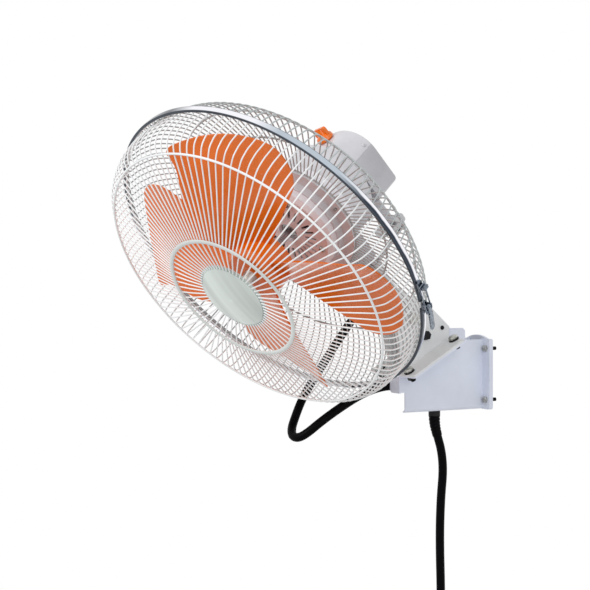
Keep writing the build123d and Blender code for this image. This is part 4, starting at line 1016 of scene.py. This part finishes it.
# ---- plug and cable tie
class FAN_OT_mould_plug(Operator):
    """Mould the plug with its ribbed grip and flexible neck, and thread a tie round the coil"""
    bl_idname = "fan.mould_plug"
    bl_label = "Mould plug and tie"

    # Heights are measured up the plug from where the cord enters its neck.
    neck_radius = 0.0079        # at its top
    neck_rings = 3
    ring_step = 0.0022
    ring_profile = ((0.0082, -0.0010), (0.0082, -0.0020), (0.0074, -0.0023), (0.0074, -0.0029))
    neck_root = 0.0085
    neck_end = -0.010           # inside the body
    body_high = -0.008
    body = ((0.0285, 0.0165), -0.038, body_high, 0.0040)    # size, low, high and softness of its edges
    grip_ribs = 5
    grip_step = 0.0035
    grip_high = -0.0135
    rib_size = (0.0298, 0.0178)
    rib_height = 0.0016
    rib_edge = 0.0007
    tie_across = 0.0083         # from the middle of an outer turn to the middle of the strap
    tie_width = 0.0070
    tie_wall = 0.0014
    tie_bend_steps = 12
    # Name, size, half width, softness of the edges, and place outside and beside the strap's middle.
    tie_ends = (("tie_head", (0.0062, 0.0100), 0.0052, 0.0012, 0.0015, 0.0),
                ("tie_tail", (0.0012, 0.0330), 0.0033, 0.0004, 0.0030, 0.0180))

    def soft_block(self, name, size, low, high, edge):
        leave_all()
        bpy.ops.mesh.primitive_cube_add(size=1.0, location=(0, 0, (low + high) / 2))
        block = bpy.context.object
        block.name = name
        block.scale = (size[0], size[1], high - low)
        apply_place()
        softened = block.modifiers.new("soft edges", "BEVEL")
        softened.width = edge
        softened.segments = 4
        softened.limit_method = "NONE"
        only(block)
        bpy.ops.object.modifier_apply(modifier=softened.name)
        return block

    def make_plug(self):
        tail = coil_point(COIL_TURNS) - Vector((0, 0, CORD_DIAMETER))
        pieces = [self.soft_block("plug_block", *self.body)]
        for rib in range(self.grip_ribs):
            high = self.grip_high - self.grip_step * rib
            low = high - self.rib_height
            pieces.append(self.soft_block("plug_rib", self.rib_size, low, high, self.rib_edge))
        neck = [(0.0, 0.0), (self.neck_radius, 0.0)]
        for ring in range(self.neck_rings):
            neck += [(radius, height - self.ring_step * ring) for radius, height in self.ring_profile]
        neck += [(self.neck_root, self.body_high), (self.neck_root, self.neck_end), (0.0, self.neck_end)]
        pieces.append(turned("plug_neck", neck))
        plug = join("moulded_plug", pieces)
        settle(plug, Matrix.Translation(tail))
        dress(plug, "black_plastic")
        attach(plug, "mount_frame")
        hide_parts("plug_body")
        return plug

    def make_tie(self):
        """A strap in the shape of a stadium round the turns, with its square head outside."""
        reach = COIL_STEP * (COIL_TURNS - 1) / 2
        points = []
        for end in (1, -1):
            for step in range(self.tie_bend_steps + 1):
                turn = math.pi * step / self.tie_bend_steps
                points.append((end * self.tie_across * math.cos(turn),
                               end * (reach + self.tie_across * math.sin(turn)), -self.tie_width / 2))
        strap = draw_line("tie_strap", points, closed=True)
        edit_all(strap)
        bpy.ops.mesh.extrude_edges_move(TRANSFORM_OT_translate={"value": (0, 0, self.tie_width)})
        close_skin(strap)
        wall = strap.modifiers.new("strap wall", "SOLIDIFY")
        wall.thickness = self.tie_wall
        wall.offset = 0.0
        bpy.ops.object.modifier_apply(modifier=wall.name)
        pieces = [strap]
        for name, size, half_width, edge, out, aside in self.tie_ends:
            block = self.soft_block(name, size, -half_width, half_width, edge)
            block.location = (-self.tie_across - out, aside, 0)
            apply_place()
            pieces.append(block)
        tie = join("coil_strap", pieces)
        middle = COIL_START + Vector((-2 * COIL_RADIUS, -COIL_STEP * COIL_TURNS / 2, 0))
        settle(tie, Matrix.Translation(middle))
        dress(tie, "black_plastic")
        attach(tie, "mount_frame")
        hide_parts("coil_tie")
        return tie

    def execute(self, context):
        self.make_plug()
        self.make_tie()
        return {"FINISHED"}


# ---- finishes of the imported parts
class FAN_OT_finish_parts(Operator):
    """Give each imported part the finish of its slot, or its own"""
    bl_idname = "fan.finish_parts"
    bl_label = "Finish parts"

    def execute(self, context):
        for part in frame["record"]["subparts"]:
            finish = OWN_FINISHES.get(part["node"], part["material_slot"])
            coat(frame["nodes"][part["node"]], finish)
        return {"FINISHED"}


# ---- stage
class FAN_OT_set_stage(Operator):
    """Lay a pale floor under the coil and light the fan with soft lamps in a white room"""
    bl_idname = "fan.set_stage"
    bl_label = "Set stage"

    floor_radius = 0.8
    floor_sides = 96
    floor_fade = 0.45           # radius at which it starts to fade out
    floor_gap = 0.001           # under the lowest piece
    ambient = 0.60              # strength of the room as a source of light
    # Name, place, diameter and watts.
    lamps = (("key_lamp", (0.3, -2.2, 1.1), 1.2, 19.0), ("side_lamp", (2.2, -0.6, 0.9), 1.4, 9.0))

    def lay_floor(self, context):
        low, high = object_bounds()
        middle = (low + high) / 2
        leave_all()
        place_m = (middle.x, middle.y, low.z - self.floor_gap)
        bpy.ops.mesh.primitive_circle_add(vertices=self.floor_sides, radius=self.floor_radius,
                                          fill_type="NGON", location=place_m)
        floor = context.object
        floor.name = "studio_floor"
        colour = context.scene.fan_colours.floor
        finish, tree, shader = new_finish("studio_floor_paper", colour, 0.8)
        point = object_point(tree)
        cloud = spread_noise(tree, add_noise(tree, point, scale=5.0, detail=2.0))
        vary_tone(tree, shader, cloud, colour, 0.99, 1.0)
        reach = add_node(tree, "ShaderNodeVectorMath", operation="LENGTH")
        tree.links.new(point, reach.inputs["Vector"])
        fade = add_range(tree, reach.outputs["Value"], self.floor_fade, self.floor_radius, 1.0, 0.0)
        tree.links.new(fade, shader.inputs["Alpha"])
        floor.data.materials.append(finish)
        floor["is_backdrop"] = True

    def light_room(self, context):
        """White where the camera, metal or glass looks past the object, softer as a source of light."""
        world = bpy.data.worlds.new("white_room")
        world.use_nodes = True
        context.scene.world = world
        tree = world.node_tree
        soft = tree.nodes["Background"]
        seen = add_node(tree, "ShaderNodeBackground")
        white = (1.0, 1.0, 1.0, 1.0)
        set_inputs(soft, {"Color": white, "Strength": self.ambient})
        set_inputs(seen, {"Color": white, "Strength": 1.0})
        path = add_node(tree, "ShaderNodeLightPath")
        either = add_math(tree, "ADD", path.outputs["Is Camera Ray"], path.outputs["Is Glossy Ray"])
        any_of_three = add_math(tree, "ADD", either, path.outputs["Is Transmission Ray"], use_clamp=True)
        mix = add_node(tree, "ShaderNodeMixShader")
        tree.links.new(any_of_three, mix.inputs["Fac"])
        tree.links.new(soft.outputs["Background"], mix.inputs[1])
        tree.links.new(seen.outputs["Background"], mix.inputs[2])
        tree.links.new(mix.outputs["Shader"], tree.nodes["World Output"].inputs["Surface"])

    def hang_lamp(self, context, name, place_m, diameter, power):
        leave_all()
        turn = (FAN_CENTRE - Vector(place_m)).to_track_quat("-Z", "Y").to_euler()
        bpy.ops.object.light_add(type="AREA", location=place_m, rotation=turn)
        lamp = context.object
        lamp.name = name
        lamp.data.shape = "DISK"
        lamp.data.size = diameter
        lamp.data.energy = power

    def execute(self, context):
        self.lay_floor(context)
        self.light_room(context)
        for lamp in self.lamps:
            self.hang_lamp(context, *lamp)
        context.scene.view_settings.view_transform = "Standard"
        return {"FINISHED"}


# ---- sidebar and registration
class FAN_PT_builder(Panel):
    """Lists the fan's sizes, colours and steps"""
    bl_idname = "FAN_PT_builder"
    bl_label = "Wall mounted fan"
    bl_space_type = "VIEW_3D"
    bl_region_type = "UI"
    bl_category = "Fan"

    def draw(self, context):
        for group in (context.scene.fan_sizes, context.scene.fan_colours):
            box = self.layout.box()
            for name in group.__annotations__:
                box.prop(group, name)
        for step in STEPS:
            self.layout.operator(step.bl_idname)


STEPS = (FAN_OT_set_camera, FAN_OT_lay_motor_cord, FAN_OT_mould_plug, FAN_OT_lay_power_lead,
         FAN_OT_finish_parts, FAN_OT_weld_front_guard, FAN_OT_weld_rear_guard, FAN_OT_roll_clamp_band,
         FAN_OT_turn_fasteners, FAN_OT_set_stage)


def register():
    for kind in (FanSizes, FanColours, *STEPS, FAN_PT_builder):
        bpy.utils.register_class(kind)
    bpy.types.Scene.fan_sizes = PointerProperty(type=FanSizes)
    bpy.types.Scene.fan_colours = PointerProperty(type=FanColours)


def unregister():
    del bpy.types.Scene.fan_colours
    del bpy.types.Scene.fan_sizes
    for kind in (FAN_PT_builder, *reversed(STEPS), FanColours, FanSizes):
        bpy.utils.unregister_class(kind)


def main():
    register()
    bpy.ops.fan.set_camera()
    bpy.ops.fan.lay_motor_cord()
    bpy.ops.fan.mould_plug()
    bpy.ops.fan.lay_power_lead()
    bpy.ops.fan.finish_parts()
    bpy.ops.fan.weld_front_guard()
    bpy.ops.fan.weld_rear_guard()
    bpy.ops.fan.roll_clamp_band()
    bpy.ops.fan.turn_fasteners()
    bpy.ops.fan.set_stage()


if __name__ == "__main__":
    main()
